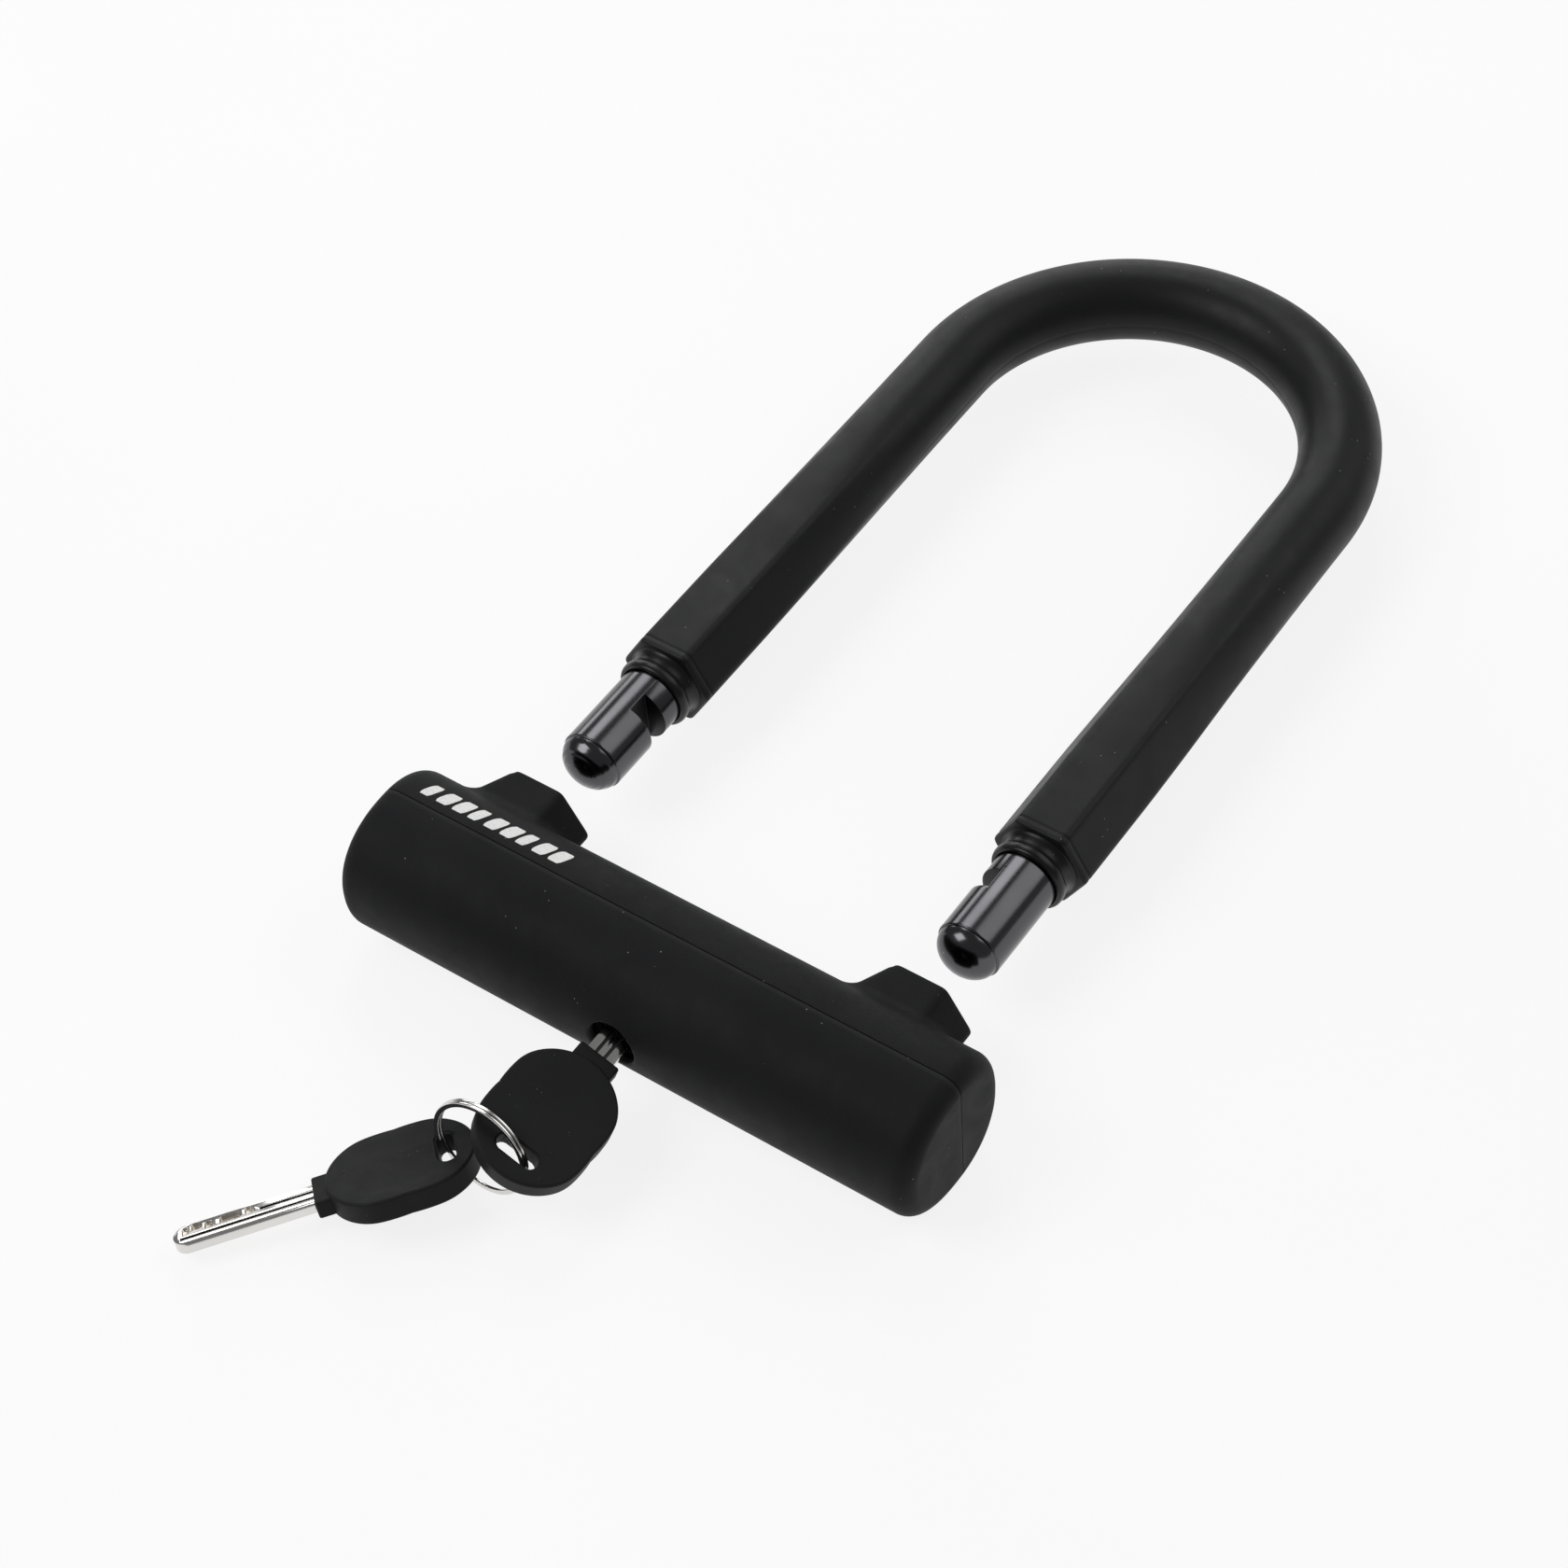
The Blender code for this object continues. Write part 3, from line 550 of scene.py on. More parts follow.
def patch_column(column, edge):
    """Carries a boss column on along the cover to a vertex of the grid."""
    start_x, _, start_z = column[-1]
    end_x, _, end_z = edge
    start_angle = surface_angle(start_z)
    end_angle = surface_angle(end_z)
    onward = []
    for i in range(1, PATCH_STEPS):
        share = i / PATCH_STEPS
        angle = start_angle + (end_angle - start_angle) * share
        y, z = oval_point(angle, 0.0, 1)
        onward.append((start_x + (end_x - start_x) * share, y, z))
    return column + onward


def rear_solid():
    shape = bmesh.new()
    stations = cover_stations()
    rows = [ring_verts(shape, [(x, y, z) for y, z in half_section(inset, 1)]) for x, inset in stations]
    section = half_section(0.0, 1)
    inside = [i for i, (y, z) in enumerate(section)
              if y > SEAM_Y + PATCH_FROM_SEAM and abs(z) < PATCH_HALF_Z]
    low = inside[0]
    high = inside[-1]
    patches = []
    for side in (-1, 1):
        centre_x = side * LEG_X
        columns = [i for i, (x, inset) in enumerate(stations)
                   if inset == 0.0 and centre_x - PATCH_LEFT < x < centre_x + PATCH_RIGHT]
        patches.append((centre_x, columns[0], columns[-1]))
    count = len(section)
    for i in range(len(rows) - 1):
        for j in range(count):
            k = (j + 1) % count
            hole = any(first <= i < last and low <= j < high for _, first, last in patches)
            if not hole:
                shape.faces.new((rows[i][j], rows[i][k], rows[i + 1][k], rows[i + 1][j]))
    shape.faces.new(rows[0])
    shape.faces.new(rows[-1])
    for centre_x, first, last in patches:
        loop = [rows[i][low] for i in range(first, last)]
        loop += [rows[last][j] for j in range(low, high)]
        loop += [rows[i][high] for i in range(last, first, -1)]
        loop += [rows[first][j] for j in range(high, low, -1)]
        add_boss(shape, loop, centre_x)
    for vert in [v for v in shape.verts if not v.link_faces]:
        shape.verts.remove(vert)
    return finish_mesh("rear", shape, 50)


def add_boss(shape, loop, centre_x):
    """Joins a boss to the loop of vertices left open round it."""
    middle_x = (min(v.co.x for v in loop) + max(v.co.x for v in loop)) / 2 / MM
    half_x = (max(v.co.x for v in loop) - min(v.co.x for v in loop)) / 2 / MM
    columns = []
    for vert in loop:
        point = vert.co / MM
        direction = math.atan2(point.z / PATCH_HALF_Z, (point.x - middle_x) / half_x)
        column = boss_column(direction, centre_x)
        columns.append(patch_column(column, point))
    rings = [ring_verts(shape, ring) for ring in zip(*columns)]
    for first, second in zip(rings, rings[1:]):
        bridge(shape, first, second)
    bridge(shape, rings[-1], loop)
    shape.faces.new(rings[0])


def bore_cutter(centre_x):
    """The socket's bore, which opens out along a rounded edge at the boss's rim."""
    profile = [(0.0, BOSS_BORE)]
    for turn in quarter_turn(BOSS_EDGE_STEPS):
        profile.append((BOSS_RIM_Y - BORE_EDGE * (1 - math.sin(turn)),
                        BOSS_BORE + BORE_EDGE * (1 - math.cos(turn))))
    profile.append((BOSS_RIM_Y + PAST, BOSS_BORE + BORE_EDGE))
    return loft("bore", [circle(radius, y, ROUND_STEPS, centre_x) for y, radius in profile])


def front_cover(mat):
    item = add_object("cover_front", front_solid(), mat)
    boolean(item, cavity())
    boolean(item, rod("pocket", POCKET_RADIUS, POCKET_Y, 0.0))
    boolean(item, keyhole_cutter())
    weld(item)
    sharpen(item, 40)
    weigh_normals(item)
    return settle(item, Matrix.Identity(4), "crossbar", "cover", "front_cover")


def rear_cover(mat):
    item = add_object("cover_rear", rear_solid(), mat)
    boolean(item, cavity())
    for side in (-1, 1):
        boolean(item, bore_cutter(side * LEG_X))
    sharpen(item, 40)
    weigh_normals(item)
    return settle(item, Matrix.Identity(4), "crossbar", "cover", "rear_cover")


# ---------------------------------------------------------------- shackle

def across(centre, side, angle, radius):
    point = centre + side * radius * math.cos(angle)
    return (point.x, point.y, radius * math.sin(angle))


def shackle_stations(leg_ys, bend_steps):
    """Centre and outward direction from the left leg's end round the bend to the right leg's end."""
    left = [(Vector((-LEG_X, y, 0.0)), Vector((-1.0, 0.0, 0.0))) for y in leg_ys]
    right = [(Vector((LEG_X, y, 0.0)), Vector((1.0, 0.0, 0.0))) for y in reversed(leg_ys)]
    bend = []
    for angle in spread(math.pi, 0.0, bend_steps):
        side = Vector((math.cos(angle), math.sin(angle), 0.0))
        bend.append((Vector((0.0, BEND_Y, 0.0)) + side * LEG_X, side))
    return left + bend + right


def sleeve_inset(y):
    """The rounded end of the sleeve, and the fine groove just behind it."""
    depth = y - SLEEVE_END_Y
    if depth < SLEEVE_EDGE:
        return SLEEVE_EDGE - math.sqrt(max(SLEEVE_EDGE ** 2 - (SLEEVE_EDGE - depth) ** 2, 0.0))
    return GROOVE_DEPTH * math.exp(-((depth - GROOVE_BEHIND) / GROOVE_SPREAD) ** 2)


def sleeve_leg_ys():
    """Close together round the sleeve's end and its groove, then wide apart up to the bend."""
    rounding = [SLEEVE_END_Y + SLEEVE_EDGE * (1 - math.cos(turn)) for turn in quarter_turn(SLEEVE_EDGE_STEPS)]
    groove = spread(rounding[-1], SLEEVE_END_Y + FINE_LENGTH, FINE_STEPS)[1:]
    plain = spread(SLEEVE_END_Y + PLAIN_START, BEND_Y - PLAIN_BEFORE_BEND, PLAIN_STEPS)
    return rounding + groove + plain


def sleeve(mat):
    turns = full_turn(SLEEVE_STEPS)
    rings = []
    for centre, side in shackle_stations(sleeve_leg_ys(), SLEEVE_BEND_STEPS):
        share = smooth_step(ROUNDING_START_Y, ROUNDING_END_Y, centre.y)
        inset = sleeve_inset(centre.y)
        ring = []
        for turn in turns:
            flat = hexagon_radius(turn, SLEEVE_APOTHEM, SLEEVE_ROUNDING)
            radius = flat * (1 - share) + SLEEVE_BEND_RADIUS * share - inset
            line = PARTING_DEPTH * math.exp(-((turn - math.pi) / PARTING_SPREAD) ** 2) * share
            ring.append(across(centre, side, turn, radius - line))
        rings.append(ring)
    inner = [[across(centre, side, turn, SLEEVE_BORE) for turn in turns]
             for centre, side in shackle_stations([SLEEVE_END_Y], BORE_BEND_STEPS)]
    item = add_object("sleeve", closed_loft("sleeve", rings + inner[::-1], 40), mat)
    weigh_normals(item)
    return settle(item, Matrix.Identity(4), "shackle", "rubber", "shackle_sleeve")


def collar_profile():
    """(y, radius) of a moulded collar: a cove out of the sleeve's end, then a rolled bead at the bar."""
    end = SLEEVE_END_Y - COLLAR_GAP
    tip = SLEEVE_END_Y - COLLAR_LENGTH
    bead_middle = tip + COLLAR_BEAD
    profile = []
    for turn in quarter_turn(COLLAR_STEPS):
        profile.append((end - COLLAR_COVE * (1 - math.cos(turn)),
                        COLLAR_ROOT - (COLLAR_ROOT - COLLAR_WAIST) * math.sin(turn)))
    for turn in spread(0.0, math.pi, 2 * COLLAR_STEPS):
        rise = (COLLAR_BEAD_RISE + COLLAR_BEAD_SINK) * math.sin(turn)
        profile.append((bead_middle + COLLAR_BEAD * math.cos(turn), COLLAR_WAIST - COLLAR_BEAD_SINK + rise))
    profile += [(tip, SLEEVE_BORE), (end, SLEEVE_BORE)]
    return profile


def collar(name, node, side, mat):
    rings = [circle(radius, y, BAR_STEPS, side * LEG_X) for y, radius in collar_profile()]
    item = add_object(name, closed_loft(name, rings, 50), mat)
    return settle(item, Matrix.Identity(4), "shackle", "rubber", node)


def foot_profile(turning_rings):
    """(y, radius) from the dome's tip to the straight bar, with turning marks if asked for."""
    points = []
    for turn in quarter_turn(DOME_STEPS)[1:]:
        radius = DOME_RADIUS * math.sin(turn)
        y = SHOULDER_Y - DOME_HEIGHT * math.cos(turn)
        if turning_rings:
            fade = smooth_step(*RING_MARK_FADE, radius)
            y += RING_MARK_DEPTH * fade * math.sin(2 * math.pi * radius / RING_MARK_PITCH)
        points.append((y, radius))
    for turn in quarter_turn(EDGE_STEPS)[1:]:
        points.append((SHOULDER_Y + FOOT_EDGE * (1 - math.cos(turn)),
                       BAR_RADIUS - FOOT_EDGE * (1 - math.sin(turn))))
    straight = (SHOULDER_Y + 2 * FOOT_EDGE, NOTCH_START_Y - NOTCH_LEAD, SLEEVE_END_Y + BAR_IN_SLEEVE)
    return points + [(y, BAR_RADIUS) for y in straight]


def shackle_bar(mat, notch_shade_mat):
    turns = full_turn(BAR_STEPS)
    ends = []
    for side in (-1, 1):
        out = Vector((float(side), 0.0, 0.0))
        ends.append([[across(Vector((side * LEG_X, y, 0.0)), out, turn, radius) for turn in turns]
                     for y, radius in foot_profile(side < 0)])
    bend = [[across(centre, side, turn, BAR_RADIUS) for turn in turns]
            for centre, side in shackle_stations([BAR_BEND_START_Y], BAR_BEND_STEPS)]
    item = add_object("bar", loft("bar", ends[0] + bend + ends[1][::-1]), mat)
    for side in (-1, 1):
        xs = sorted((side * (LEG_X - NOTCH_FLOOR), side * (LEG_X - BAR_RADIUS - PAST)))
        half_height = BAR_RADIUS + PAST
        notch = box("notch", (xs[0], NOTCH_START_Y, -half_height), (xs[1], NOTCH_END_Y, half_height))
        # The notch's faces take the painted shade finish, darker than the bar, standing for the shade inside
        # the cut.
        notch.materials.append(notch_shade_mat)
        boolean(item, notch)
    bevel(item, NOTCH_EDGE, 3, 50)
    sharpen(item, 30)
    return settle(item, Matrix.Identity(4), "shackle", "bar", "shackle_bar")


# ---------------------------------------------------------------- keys
# A key lies along its own +X, from its neck's face to the end of its bow, with its width along Y.

def rotation(degrees, axes):
    result = Matrix.Identity(4)
    for angle, axis in zip(degrees, axes):
        result = result @ Matrix.Rotation(math.radians(angle), 4, axis)
    return result


def slot_middle():
    return NECK_LENGTH + BOW_LENGTH - SLOT_FROM_END


def key_matrix():
    return Matrix.Translation((0.0, KEY_NECK_Y * MM, 0.0)) @ rotation((KEY_ROLL, -90.0), "YZ")


def ring_matrix():
    spot = Matrix.Translation(Vector((slot_middle() + RING_IN_SLOT[0], RING_IN_SLOT[1], 0.0)) * MM)
    square = Matrix(((0, 0, 1, 0), (1, 0, 0, 0), (0, 1, 0, 0), (0, 0, 0, 1)))
    return key_matrix() @ spot @ rotation(RING_LEAN, "ZXY") @ square


def spare_matrix():
    turn = math.radians(SPARE_ON_RING)
    spot = Vector((RING_RADIUS * (math.cos(turn) - 1), RING_RADIUS * math.sin(turn), 0.0)) * MM
    wire = Vector((slot_middle() + SPARE_SLOT_SPOT[0], SPARE_SLOT_SPOT[1], 0.0)) * MM
    return Matrix.Translation(ring_matrix() @ spot) @ rotation(SPARE_TURN, "ZYX") @ Matrix.Translation(-wire)


def bow_point(direction, inset):
    """A point of the bow's outline: end arcs cut by straight sides, with softened corners."""
    middle = NECK_LENGTH + BOW_LENGTH / 2
    reach = BOW_LENGTH / 2 - BOW_END_RADIUS
    cosine = math.cos(direction)
    sine = math.sin(direction)
    offset = reach if cosine >= 0 else -reach
    radius = BOW_END_RADIUS - inset
    along = offset * cosine + math.sqrt(max(radius ** 2 - (offset * sine) ** 2, 0.0))
    sides = (BOW_HALF_WIDTH - inset) / max(abs(sine), 1e-6)
    distance = (along ** -BOW_CORNER + sides ** -BOW_CORNER) ** (-1 / BOW_CORNER)
    return middle + distance * cosine, distance * sine


def bow_blank(name):
    """A crisp rounded edge, and a face that is very slightly hollow inside a broad rim."""
    half = BOW_THICKNESS / 2
    profile = [(inset, half - depth) for inset, depth in BOW_HOLLOW]
    for turn in quarter_turn(BOW_EDGE_STEPS):
        profile.append((BOW_EDGE * (1 - math.sin(turn)), half - BOW_EDGE * (1 - math.cos(turn))))
    profile += [(inset, -z) for inset, z in reversed(profile)]
    rings = []
    for inset, z in profile:
        outline = [bow_point(direction, inset) for direction in full_turn(BOW_STEPS)]
        rings.append([(x, y, z) for x, y in outline])
    return loft(name, rings, 50)


def slot_cutter(name):
    """A long hole through the bow, which opens out along a rounded edge at either face."""
    half = BOW_THICKNESS / 2
    profile = [(-half - PAST, 2 * SLOT_EDGE)]
    for turn in quarter_turn(SLOT_EDGE_STEPS):
        profile.append((SLOT_EDGE * math.sin(turn) - half - SLOT_EDGE_LIFT, SLOT_EDGE * math.cos(turn)))
    profile += [(-z, wider) for z, wider in reversed(profile)]
    rings = []
    for z, wider in profile:
        radius = SLOT_RADIUS + wider
        ring = []
        for end, start in ((SLOT_HALF_LENGTH, 0.0), (-SLOT_HALF_LENGTH, math.pi)):
            for turn in spread(start, start + math.pi, ARC_STEPS):
                ring.append((slot_middle() + radius * math.cos(turn), end + radius * math.sin(turn), z))
        rings.append(ring)
    return loft(name, rings)


def rounded_block(name, low, high, width):
    item = add_object(name, box(name, low, high))
    bevel(item, width, 4)
    mesh = item.data
    bpy.data.objects.remove(item, do_unlink=True)
    return mesh


def key_bow(name, matrix, body, node, mat):
    item = add_object(name, bow_blank(name), mat)
    half = NECK_THICKNESS / 2
    neck_end = NECK_LENGTH + NECK_IN_BOW
    neck = rounded_block("neck", (0.0, -NECK_HALF_WIDTH, -half), (neck_end, NECK_HALF_WIDTH, half), NECK_EDGE)
    boolean(item, neck, "UNION")
    half_high = BLADE_THICKNESS / 2 + TANG_CLEARANCE
    half_wide = BLADE_WIDTH / 2 + TANG_CLEARANCE
    pocket_end = TANG_LENGTH + TANG_END_GAP
    boolean(item, box("pocket", (-PAST, -half_wide, -half_high), (pocket_end, half_wide, half_high)))
    boolean(item, slot_cutter("slot"))
    sharpen(item, 45)
    weigh_normals(item)
    return settle(item, matrix, body, "bow", node)


def blade_blank(name):
    """A flat bar with a rounded tip."""
    half_width = BLADE_WIDTH / 2
    half = BLADE_THICKNESS / 2
    nose = half_width * TIP_ROUNDNESS
    outline = [(TANG_LENGTH, -half_width), (TANG_LENGTH, half_width)]
    for turn in spread(math.pi / 2, math.pi * 3 / 2, ARC_STEPS):
        outline.append((nose - BLADE_LENGTH + nose * math.cos(turn), half_width * math.sin(turn)))
    return loft(name, [[(x, y, z) for x, y in outline] for z in (-half, half)])


def bit_cutter(along, over, half_length, depth, side):
    """A round-nosed cutter for one side-milled bit, open towards the blade's edge."""
    half = BLADE_THICKNESS / 2
    rings = []
    for reach, wider in ((half - depth, 0.0), (half + BIT_FLARE, BIT_FLARE)):
        ring = []
        for turn in full_turn(BIT_STEPS):
            x = along + (half_length + wider) * signed_power(math.cos(turn), BIT_SQUARENESS)
            y = over + (BIT_HALF_WIDTH + wider) * signed_power(math.sin(turn), BIT_SQUARENESS)
            ring.append((x, y, side * reach))
        rings.append(ring)
    return loft("bit", rings)


def key_blade(name, matrix, body, node, mat, groove_shade_mat, bit_mat):
    item = add_object(name, blade_blank(name), mat)
    half = BLADE_THICKNESS / 2
    for side in (-1, 1):
        for middle, width, depth, start in GROOVES:
            zs = sorted((side * (half - depth), side * (half + PAST)))
            groove = box("groove", (start, side * middle - width / 2, zs[0]),
                         (TANG_LENGTH + PAST, side * middle + width / 2, zs[1]))
            # The groove's faces take the painted shade finish: a dark colour standing for the shade inside
            # the groove.
            groove.materials.append(groove_shade_mat)
            boolean(item, groove)
        for along, over, half_length, depth in BITS:
            bit = bit_cutter(along, side * over, half_length, depth, side)
            bit.materials.append(bit_mat)
            boolean(item, bit)
    bevel(item, BLADE_EDGE, 2, 40)
    sharpen(item, 30)
    return settle(item, matrix, body, "bright", node)


def split_ring(mat):
    """Flat wire wound about one and two thirds turns, which changes level where there is only one turn."""
    sweep = math.radians(RING_SWEEP)
    single = 4 * math.pi - sweep
    ease = math.radians(RING_EASE)
    rings = []
    for i, travelled in enumerate(spread(0.0, sweep, RING_STEPS)):
        turn = math.radians(RING_FREE_END) - travelled
        fall = smooth_step(2 * math.pi - single + ease, 2 * math.pi - ease, travelled)
        height = WIRE_LEVEL * (1 - 2 * fall)
        from_end = min(i, RING_STEPS - i) / WIRE_END_STEPS
        taper = min(1.0, WIRE_END + (1 - WIRE_END) * from_end)
        out = Vector((math.cos(turn), math.sin(turn), 0.0))
        ring = []
        for angle in full_turn(WIRE_STEPS):
            along_radius = WIRE_HALF_WIDTH * signed_power(math.cos(angle), WIRE_SQUARENESS) * taper
            along_axis = WIRE_HALF_HEIGHT * signed_power(math.sin(angle), WIRE_SQUARENESS) * taper
            point = out * (RING_RADIUS + along_radius)
            ring.append((point.x - RING_RADIUS, point.y, height + along_axis))
        rings.append(ring)
    item = add_object("split_ring", loft("split_ring", rings, 40), mat)
    return settle(item, ring_matrix(), "ring", "bright", "key_ring")


# ---------------------------------------------------------------- materials

class Nodes:
    """Short names for making shader nodes and joining them."""

    def __init__(self, name):
        self.material = bpy.data.materials.new(name)
        self.material.use_nodes = True
        self.tree = self.material.node_tree
        self.shader = self.tree.nodes["Principled BSDF"]
        self.place = self.tree.nodes.new("ShaderNodeTexCoord").outputs["Object"]

    def feed(self, socket, value):
        """Joins a socket to another, or gives it a number or a colour."""
        if isinstance(value, bpy.types.NodeSocket):
            self.tree.links.new(value, socket)
        elif isinstance(value, tuple):
            socket.default_value = (*value, 1.0)
        else:
            socket.default_value = value

    def put(self, kind, **inputs):
        node = self.tree.nodes.new(kind)
        for name, value in inputs.items():
            self.feed(node.inputs[name.replace("_", " ")], value)
        return node

    def noise(self, scale, detail=3.0, rough=0.55, place=None):
        node = self.put("ShaderNodeTexNoise", Scale=scale, Detail=detail, Roughness=rough)
        self.tree.links.new(place or self.place, node.inputs["Vector"])
        return node.outputs["Fac"]

    def stretched(self, scale):
        """The place on the piece, scaled along each of its axes."""
        node = self.put("ShaderNodeMapping", Vector=self.place)
        node.inputs["Scale"].default_value = scale
        return node.outputs["Vector"]

    def span(self, value, low, high, to_low=0.0, to_high=1.0):
        node = self.put("ShaderNodeMapRange", Value=value)
        for name, number in (("From Min", low), ("From Max", high), ("To Min", to_low), ("To Max", to_high)):
            node.inputs[name].default_value = number
        return node.outputs["Result"]

    def mix(self, factor, first, second):
        node = self.tree.nodes.new("ShaderNodeMix")
        node.data_type = "RGBA"
        self.tree.links.new(factor, node.inputs["Factor"])
        self.feed(node.inputs[6], first)
        self.feed(node.inputs[7], second)
        return node.outputs[2]

    def math(self, kind, first, second):
        node = self.tree.nodes.new("ShaderNodeMath")
        node.operation = kind
        self.feed(node.inputs[0], first)
        self.feed(node.inputs[1], second)
        return node.outputs[0]

    def bump(self, height, strength, depth):
        node = self.put("ShaderNodeBump", Height=height, Strength=strength, Distance=depth * MM)
        return node.outputs["Normal"]

    def edge_wear(self, low, high):
        """Rises from 0 to 1 on convex edges."""
        geometry = self.tree.nodes.new("ShaderNodeNewGeometry")
        return self.span(geometry.outputs["Pointiness"], low, high)

    def set(self, **values):
        for name, value in values.items():
            self.feed(self.shader.inputs[name.replace("_", " ")], value)


def moulded_black(name, dark, light, rough_low, rough_high, shine, grain, specks):
    """Black moulded plastic or rubber: fine grain, cloudy tone, handling marks and a few specks of dust."""
    n = Nodes(name)
    cloud = n.noise(38.0, 4.0)
    fine = n.noise(2600.0, 2.0)
    pores = n.noise(5200.0, 1.0)
    tone = n.mix(n.span(cloud, 0.35, 0.65), dark, light)
    dust = n.put("ShaderNodeTexVoronoi", Scale=specks)
    n.tree.links.new(n.place, dust.inputs["Vector"])
    near = n.span(dust.outputs["Distance"], 0.05, 0.08, 1.0, 0.0)
    few = n.span(n.noise(specks * 0.21, 1.0), 0.60, 0.63)
    speck = n.math("MULTIPLY", near, few)
    worn = n.edge_wear(0.55, 0.66)
    tone = n.mix(n.math("MULTIPLY", worn, 0.12), tone, WORN_BLACK)
    tone = n.mix(n.math("MULTIPLY", speck, 0.7), tone, DUST)
    scuffs = n.put("ShaderNodeTexNoise", Scale=90.0, Detail=6.0, Distortion=1.4)
    n.tree.links.new(n.place, scuffs.inputs["Vector"])
    wear = n.span(scuffs.outputs["Fac"], 0.3, 0.7, rough_low, rough_high)
    height = n.math("ADD", fine, n.math("MULTIPLY", pores, 0.6))
    n.set(Base_Color=tone, Roughness=wear, Specular_IOR_Level=shine)
    n.set(Normal=n.bump(height, grain, GRAIN_DEPTH))
    return n.material


def plated(name, colour, stain, rough_low, rough_high, ring_marks):
    """Polished plating over turned steel: faint lines round the bar, cloudy stains and fine scratches."""
    n = Nodes(name)
    lines = n.noise(1.0, 2.0, 0.5, n.stretched((20.0, 2600.0, 20.0)))
    cloud = n.noise(55.0, 2.0, 0.4)
    fine = n.noise(1.0, 2.0, 0.5, n.stretched((1500.0, 60.0, 700.0)))
    tone = n.mix(n.span(cloud, 0.35, 0.65), colour, stain)
    worn = n.edge_wear(0.54, 0.66)
    tone = n.mix(n.math("MULTIPLY", worn, 0.35), tone, WORN_METAL)
    stained = n.span(cloud, 0.3, 0.7, rough_low, rough_high)
    rough = n.math("ADD", stained, n.span(fine, 0.55, 0.75, 0.0, 0.012))
    n.set(Base_Color=tone, Metallic=1.0, Roughness=rough, Normal=n.bump(lines, ring_marks, PLATED_LINE_DEPTH))
    return n.material


def machined(name, colour, rough):
    """Plain machined metal for the pieces inside the lock."""
    n = Nodes(name)
    lines = n.noise(1.0, 3.0, 0.6, n.stretched((300.0, 3000.0, 300.0)))
    cloud = n.noise(220.0, 3.0)
    dull = tuple(share * DULLING for share in colour)
    tone = n.mix(n.span(cloud, 0.35, 0.65), colour, dull)
    wear = n.span(cloud, 0.3, 0.7, rough, rough + DULL_ROUGHNESS)
    n.set(Base_Color=tone, Metallic=1.0, Roughness=wear, Normal=n.bump(lines, 0.25, MACHINED_LINE_DEPTH))
    return n.material


def printed_white():
    n = Nodes("printed_white")
    grain = n.noise(1800.0, 3.0)
    tone = n.mix(n.span(grain, 0.4, 0.7), (0.86, 0.86, 0.85), (0.74, 0.74, 0.73))
    n.set(Base_Color=tone, Roughness=0.5, Normal=n.bump(grain, 0.15, PRINT_GRAIN_DEPTH))
    return n.material


# ---------------------------------------------------------------- printed mark
# A plain row of bars stands where the printed mark is. It follows the cover's face.

def face_point(along):
    """A point of the rear cover's section, at a distance round it from the seam, and the normal there."""
    angle = seam_angle(0.0, 1)
    travelled = 0.0
    y, z = oval_point(angle, 0.0, 1)
    while travelled < along:
        angle -= FACE_STEP
        next_y, next_z = oval_point(angle, 0.0, 1)
        travelled += math.hypot(next_y - y, next_z - z)
        y, z = next_y, next_z
    ahead_y, ahead_z = oval_point(angle - FACE_STEP, 0.0, 1)
    normal = Vector((0.0, z - ahead_z, ahead_y - y)).normalized()
    return Vector((0.0, y, z)), normal


def rim(rows):
    """The points round a grid's edge, in order."""
    return rows[0] + [row[-1] for row in rows[1:]] + rows[-1][-2::-1] + [row[0] for row in rows[-2:0:-1]]


def mark_bar(shape, middle, width):
    """One slanted bar with rounded ends, raised by a film's thickness."""
    top = []
    base = []
    for share in spread(-0.5, 0.5, MARK_ROWS - 1):
        reach = width * (1 - MARK_ROUNDING * abs(2 * share) ** 4)
        point, normal = face_point(MARK_MIDDLE + MARK_HEIGHT * share)
        point.x = middle + MARK_SLANT * share
        row = [point + Vector((x, 0.0, 0.0)) for x in spread(-reach / 2, reach / 2, MARK_COLUMNS - 1)]
        top.append([shape.verts.new((spot + normal * MARK_FILM) * MM) for spot in row])
        base.append([shape.verts.new((spot - normal * MARK_FILM) * MM) for spot in row])
    for r in range(MARK_ROWS - 1):
        for c in range(MARK_COLUMNS - 1):
            shape.faces.new((top[r][c], top[r][c + 1], top[r + 1][c + 1], top[r + 1][c]))
            shape.faces.new((base[r][c], base[r + 1][c], base[r + 1][c + 1], base[r][c + 1]))
    bridge(shape, rim(top), rim(base))


def printed_mark(mat):
    shape = bmesh.new()
    pitch = (MARK_END_X - MARK_START_X) / MARK_BARS
    for bar in range(MARK_BARS):
        width = pitch * (MARK_WIDE if bar % 3 else MARK_NARROW)
        mark_bar(shape, MARK_START_X + bar * pitch + width / 2, width)
    item = add_object("printed_mark", finish_mesh("printed_mark", shape), mat)
    return settle(item, Matrix.Identity(4), "crossbar", "cover")


# ---------------------------------------------------------------- stage

def softbox(name, place, size, energy):
    light = bpy.data.lights.new(name, "AREA")
    light.shape = "RECTANGLE"
    light.size = size[0]
    light.size_y = size[1]
    light.energy = energy
    item = bpy.data.objects.new(name, light)
    item.location = place
    item.rotation_euler = (Vector(LIGHT_TARGET) - Vector(place)).to_track_quat("-Z", "Y").to_euler()
    bpy.context.scene.collection.objects.link(item)


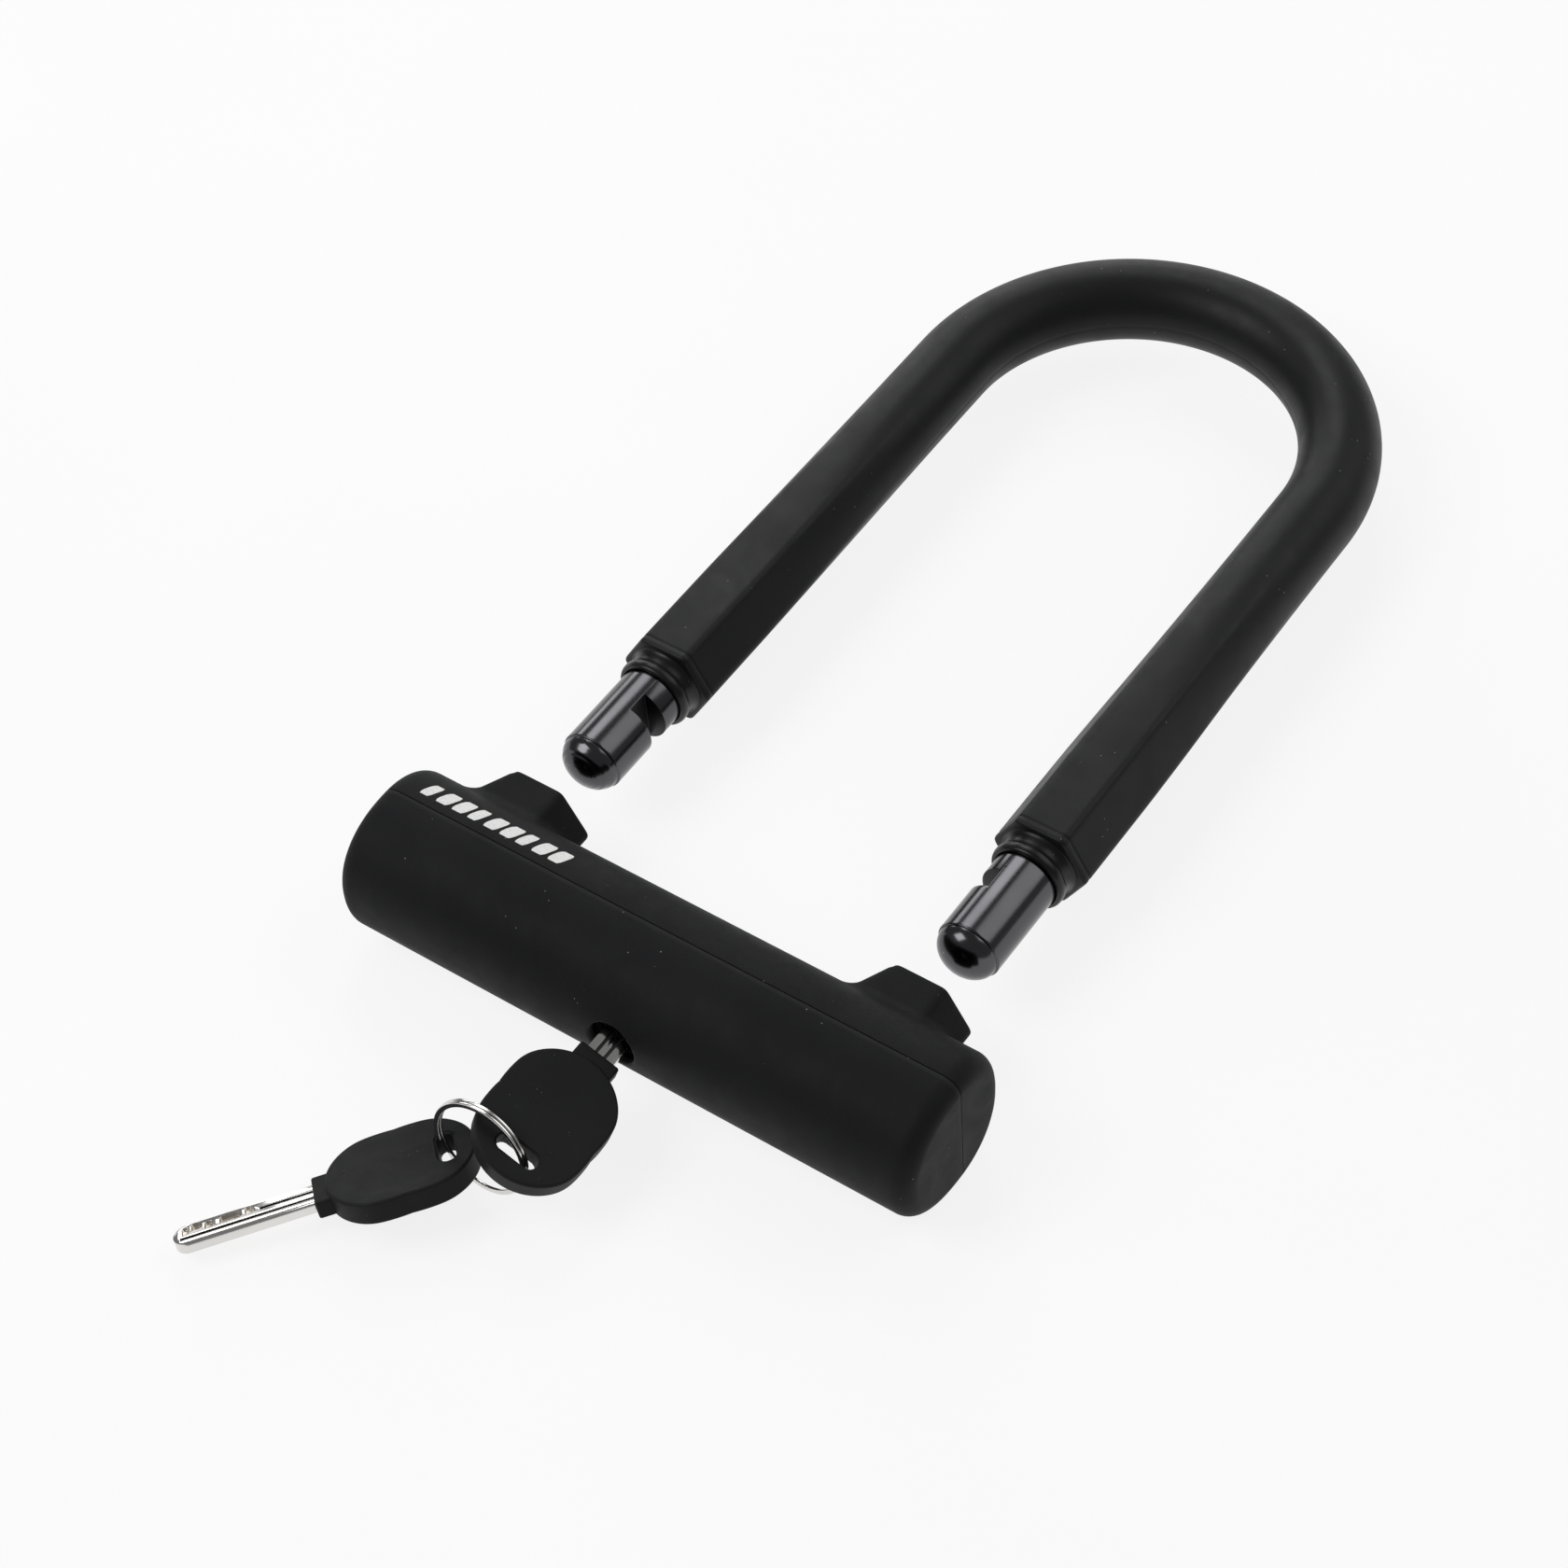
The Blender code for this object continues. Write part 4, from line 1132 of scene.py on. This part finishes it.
def pale_floor():
    shape = bmesh.new()
    bmesh.ops.create_grid(shape, x_segments=1, y_segments=1, size=FLOOR_HALF_SIZE)
    item = add_object("floor", finish_mesh("floor", shape))
    item.location = (0.0, 0.0, min(cad_box[0][2], 0.0))
    n = Nodes("floor")
    tone = n.mix(n.span(n.noise(3.0), 0.3, 0.7), (0.14, 0.14, 0.14), (0.16, 0.16, 0.16))
    n.set(Base_Color=tone, Roughness=0.9, Specular_IOR_Level=0.0)
    n.set(Emission_Color=WHITE, Emission_Strength=FLOOR_GLOW)
    item.data.materials.append(n.material)


def soft_room():
    """A dim white room for the light, behind a pale backdrop."""
    world = bpy.data.worlds.new("studio")
    bpy.context.scene.world = world
    world.use_nodes = True
    tree = world.node_tree
    room = tree.nodes["Background"]
    backdrop = tree.nodes.new("ShaderNodeBackground")
    for background, strength in ((room, ROOM_LIGHT), (backdrop, BACKDROP_LIGHT)):
        background.inputs["Color"].default_value = (*WHITE, 1.0)
        background.inputs["Strength"].default_value = strength
    choice = tree.nodes.new("ShaderNodeMixShader")
    seen = tree.nodes.new("ShaderNodeLightPath").outputs["Is Camera Ray"]
    tree.links.new(seen, choice.inputs["Fac"])
    tree.links.new(room.outputs["Background"], choice.inputs[1])
    tree.links.new(backdrop.outputs["Background"], choice.inputs[2])
    tree.links.new(choice.outputs["Shader"], tree.nodes["World Output"].inputs["Surface"])


def studio():
    """Four soft lights by place and size in metres, and watts."""
    soft_room()
    softbox("front_left", (-0.80, -0.75, 1.30), (0.9, 0.9), 11.0)
    softbox("back_right", (0.75, 1.05, 1.20), (1.3, 1.3), 7.0)
    softbox("back_left", (-0.80, 1.02, 1.30), (0.8, 0.8), 6.5)
    softbox("low_back", (-1.12, 1.30, 0.44), (1.6, 0.42), 6.6)
    bpy.context.scene.view_settings.view_transform = "Standard"


def camera():
    azimuth = math.radians(CAMERA_AZIMUTH)
    elevation = math.radians(CAMERA_ELEVATION)
    roll = math.radians(CAMERA_ROLL)
    back = Vector((math.sin(azimuth) * math.cos(elevation), -math.cos(azimuth) * math.cos(elevation),
                   math.sin(elevation)))
    right = Vector((math.cos(azimuth), math.sin(azimuth), 0.0))
    up = back.cross(right)
    turned_right = right * math.cos(roll) + up * math.sin(roll)
    turned_up = up * math.cos(roll) - right * math.sin(roll)
    place = (back * CAMERA_DISTANCE - turned_right * AIM_RIGHT - turned_up * AIM_UP) * MM
    data = bpy.data.cameras.new("camera")
    data.lens = CAMERA_LENS
    data.sensor_width = SENSOR
    data.clip_start = 0.01
    item = bpy.data.objects.new("camera", data)
    axes = Matrix((turned_right, turned_up, back)).transposed().to_4x4()
    item.matrix_world = Matrix.Translation(LOCK + place) @ axes
    bpy.context.scene.collection.objects.link(item)
    bpy.context.scene.camera = item


def dress_inner_nodes(finishes):
    """The pieces inside keep their CAD shapes and take detailed finishes."""
    slots = {entry["node"]: entry["material_slot"] for entry in frame["record"]["subparts"]}
    for name, node in frame["nodes"].items():
        finish = finishes.get(slots[name])
        if finish is None:
            continue
        node.data.materials.clear()
        node.data.materials.append(finish)


def main():
    cover = moulded_black("cover_black", (0.0112, 0.0115, 0.0124), (0.0138, 0.0141, 0.0152),
                          0.54, 0.64, 0.09, 0.35, 420.0)
    rubber = moulded_black("rubber_black", (0.0080, 0.0083, 0.0090), (0.0100, 0.0103, 0.0112),
                           0.40, 0.50, 0.20, 0.25, 500.0)
    beads = moulded_black("collar_black", (0.005, 0.005, 0.0055), (0.007, 0.007, 0.0075),
                          0.26, 0.38, 0.28, 0.15, 700.0)
    bow = moulded_black("bow_black", (0.0135, 0.0138, 0.0147), (0.0162, 0.0165, 0.0176),
                        0.48, 0.58, 0.11, 0.35, 900.0)
    guide = moulded_black("guide_black", (0.020, 0.020, 0.021), (0.026, 0.026, 0.027),
                          0.50, 0.60, 0.40, 0.30, 900.0)
    nickel = plated("black_nickel", (0.095, 0.095, 0.101), (0.078, 0.078, 0.084), 0.17, 0.20, 0.03)
    # Painted shade: the notch takes a much darker finish than the bar, standing for the shade inside the cut.
    notch_shade_paint = plated("notch_painted_shade", (0.030, 0.030, 0.032), (0.018, 0.018, 0.020), 0.34, 0.44, 0.30)
    bright = plated("bright_nickel", (0.74, 0.73, 0.71), (0.64, 0.63, 0.61), 0.12, 0.17, 0.05)
    # Painted shade: the key's grooves take a dark finish beside the bright plating, standing for the shade
    # inside them.
    groove_shade_paint = plated("groove_painted_shade", (0.10, 0.10, 0.10), (0.06, 0.06, 0.06), 0.30, 0.40, 0.10)
    milled = plated("milled_nickel_silver", (0.60, 0.56, 0.50), (0.46, 0.42, 0.37), 0.28, 0.38, 0.20)
    steel = machined("plain_steel", (0.52, 0.52, 0.54), 0.30)
    # Painted shade: the brass pieces inside the lock are drawn near black, standing for the shade deep in the
    # keyhole.
    brass_painted_shade = machined("cylinder_painted_shade", (0.05, 0.045, 0.04), 0.45)
    dress_inner_nodes({"steel": steel, "brass": brass_painted_shade, "guide": guide})
    front_cover(cover)
    rear_cover(cover)
    printed_mark(printed_white())
    shackle_bar(nickel, notch_shade_paint)
    sleeve(rubber)
    collar("collar_left", "left_collar", -1, beads)
    collar("collar_right", "right_collar", 1, beads)
    key_bow("bow_in_lock", key_matrix(), "key", "key_bow", bow)
    key_blade("blade_in_lock", key_matrix(), "key", "key_blade", bright, groove_shade_paint, milled)
    key_bow("bow_spare", spare_matrix(), "spare_key", "spare_key_bow", bow)
    key_blade("blade_spare", spare_matrix(), "spare_key", "spare_key_blade", bright, groove_shade_paint, milled)
    split_ring(bright)
    pale_floor()
    studio()
    camera()


main()
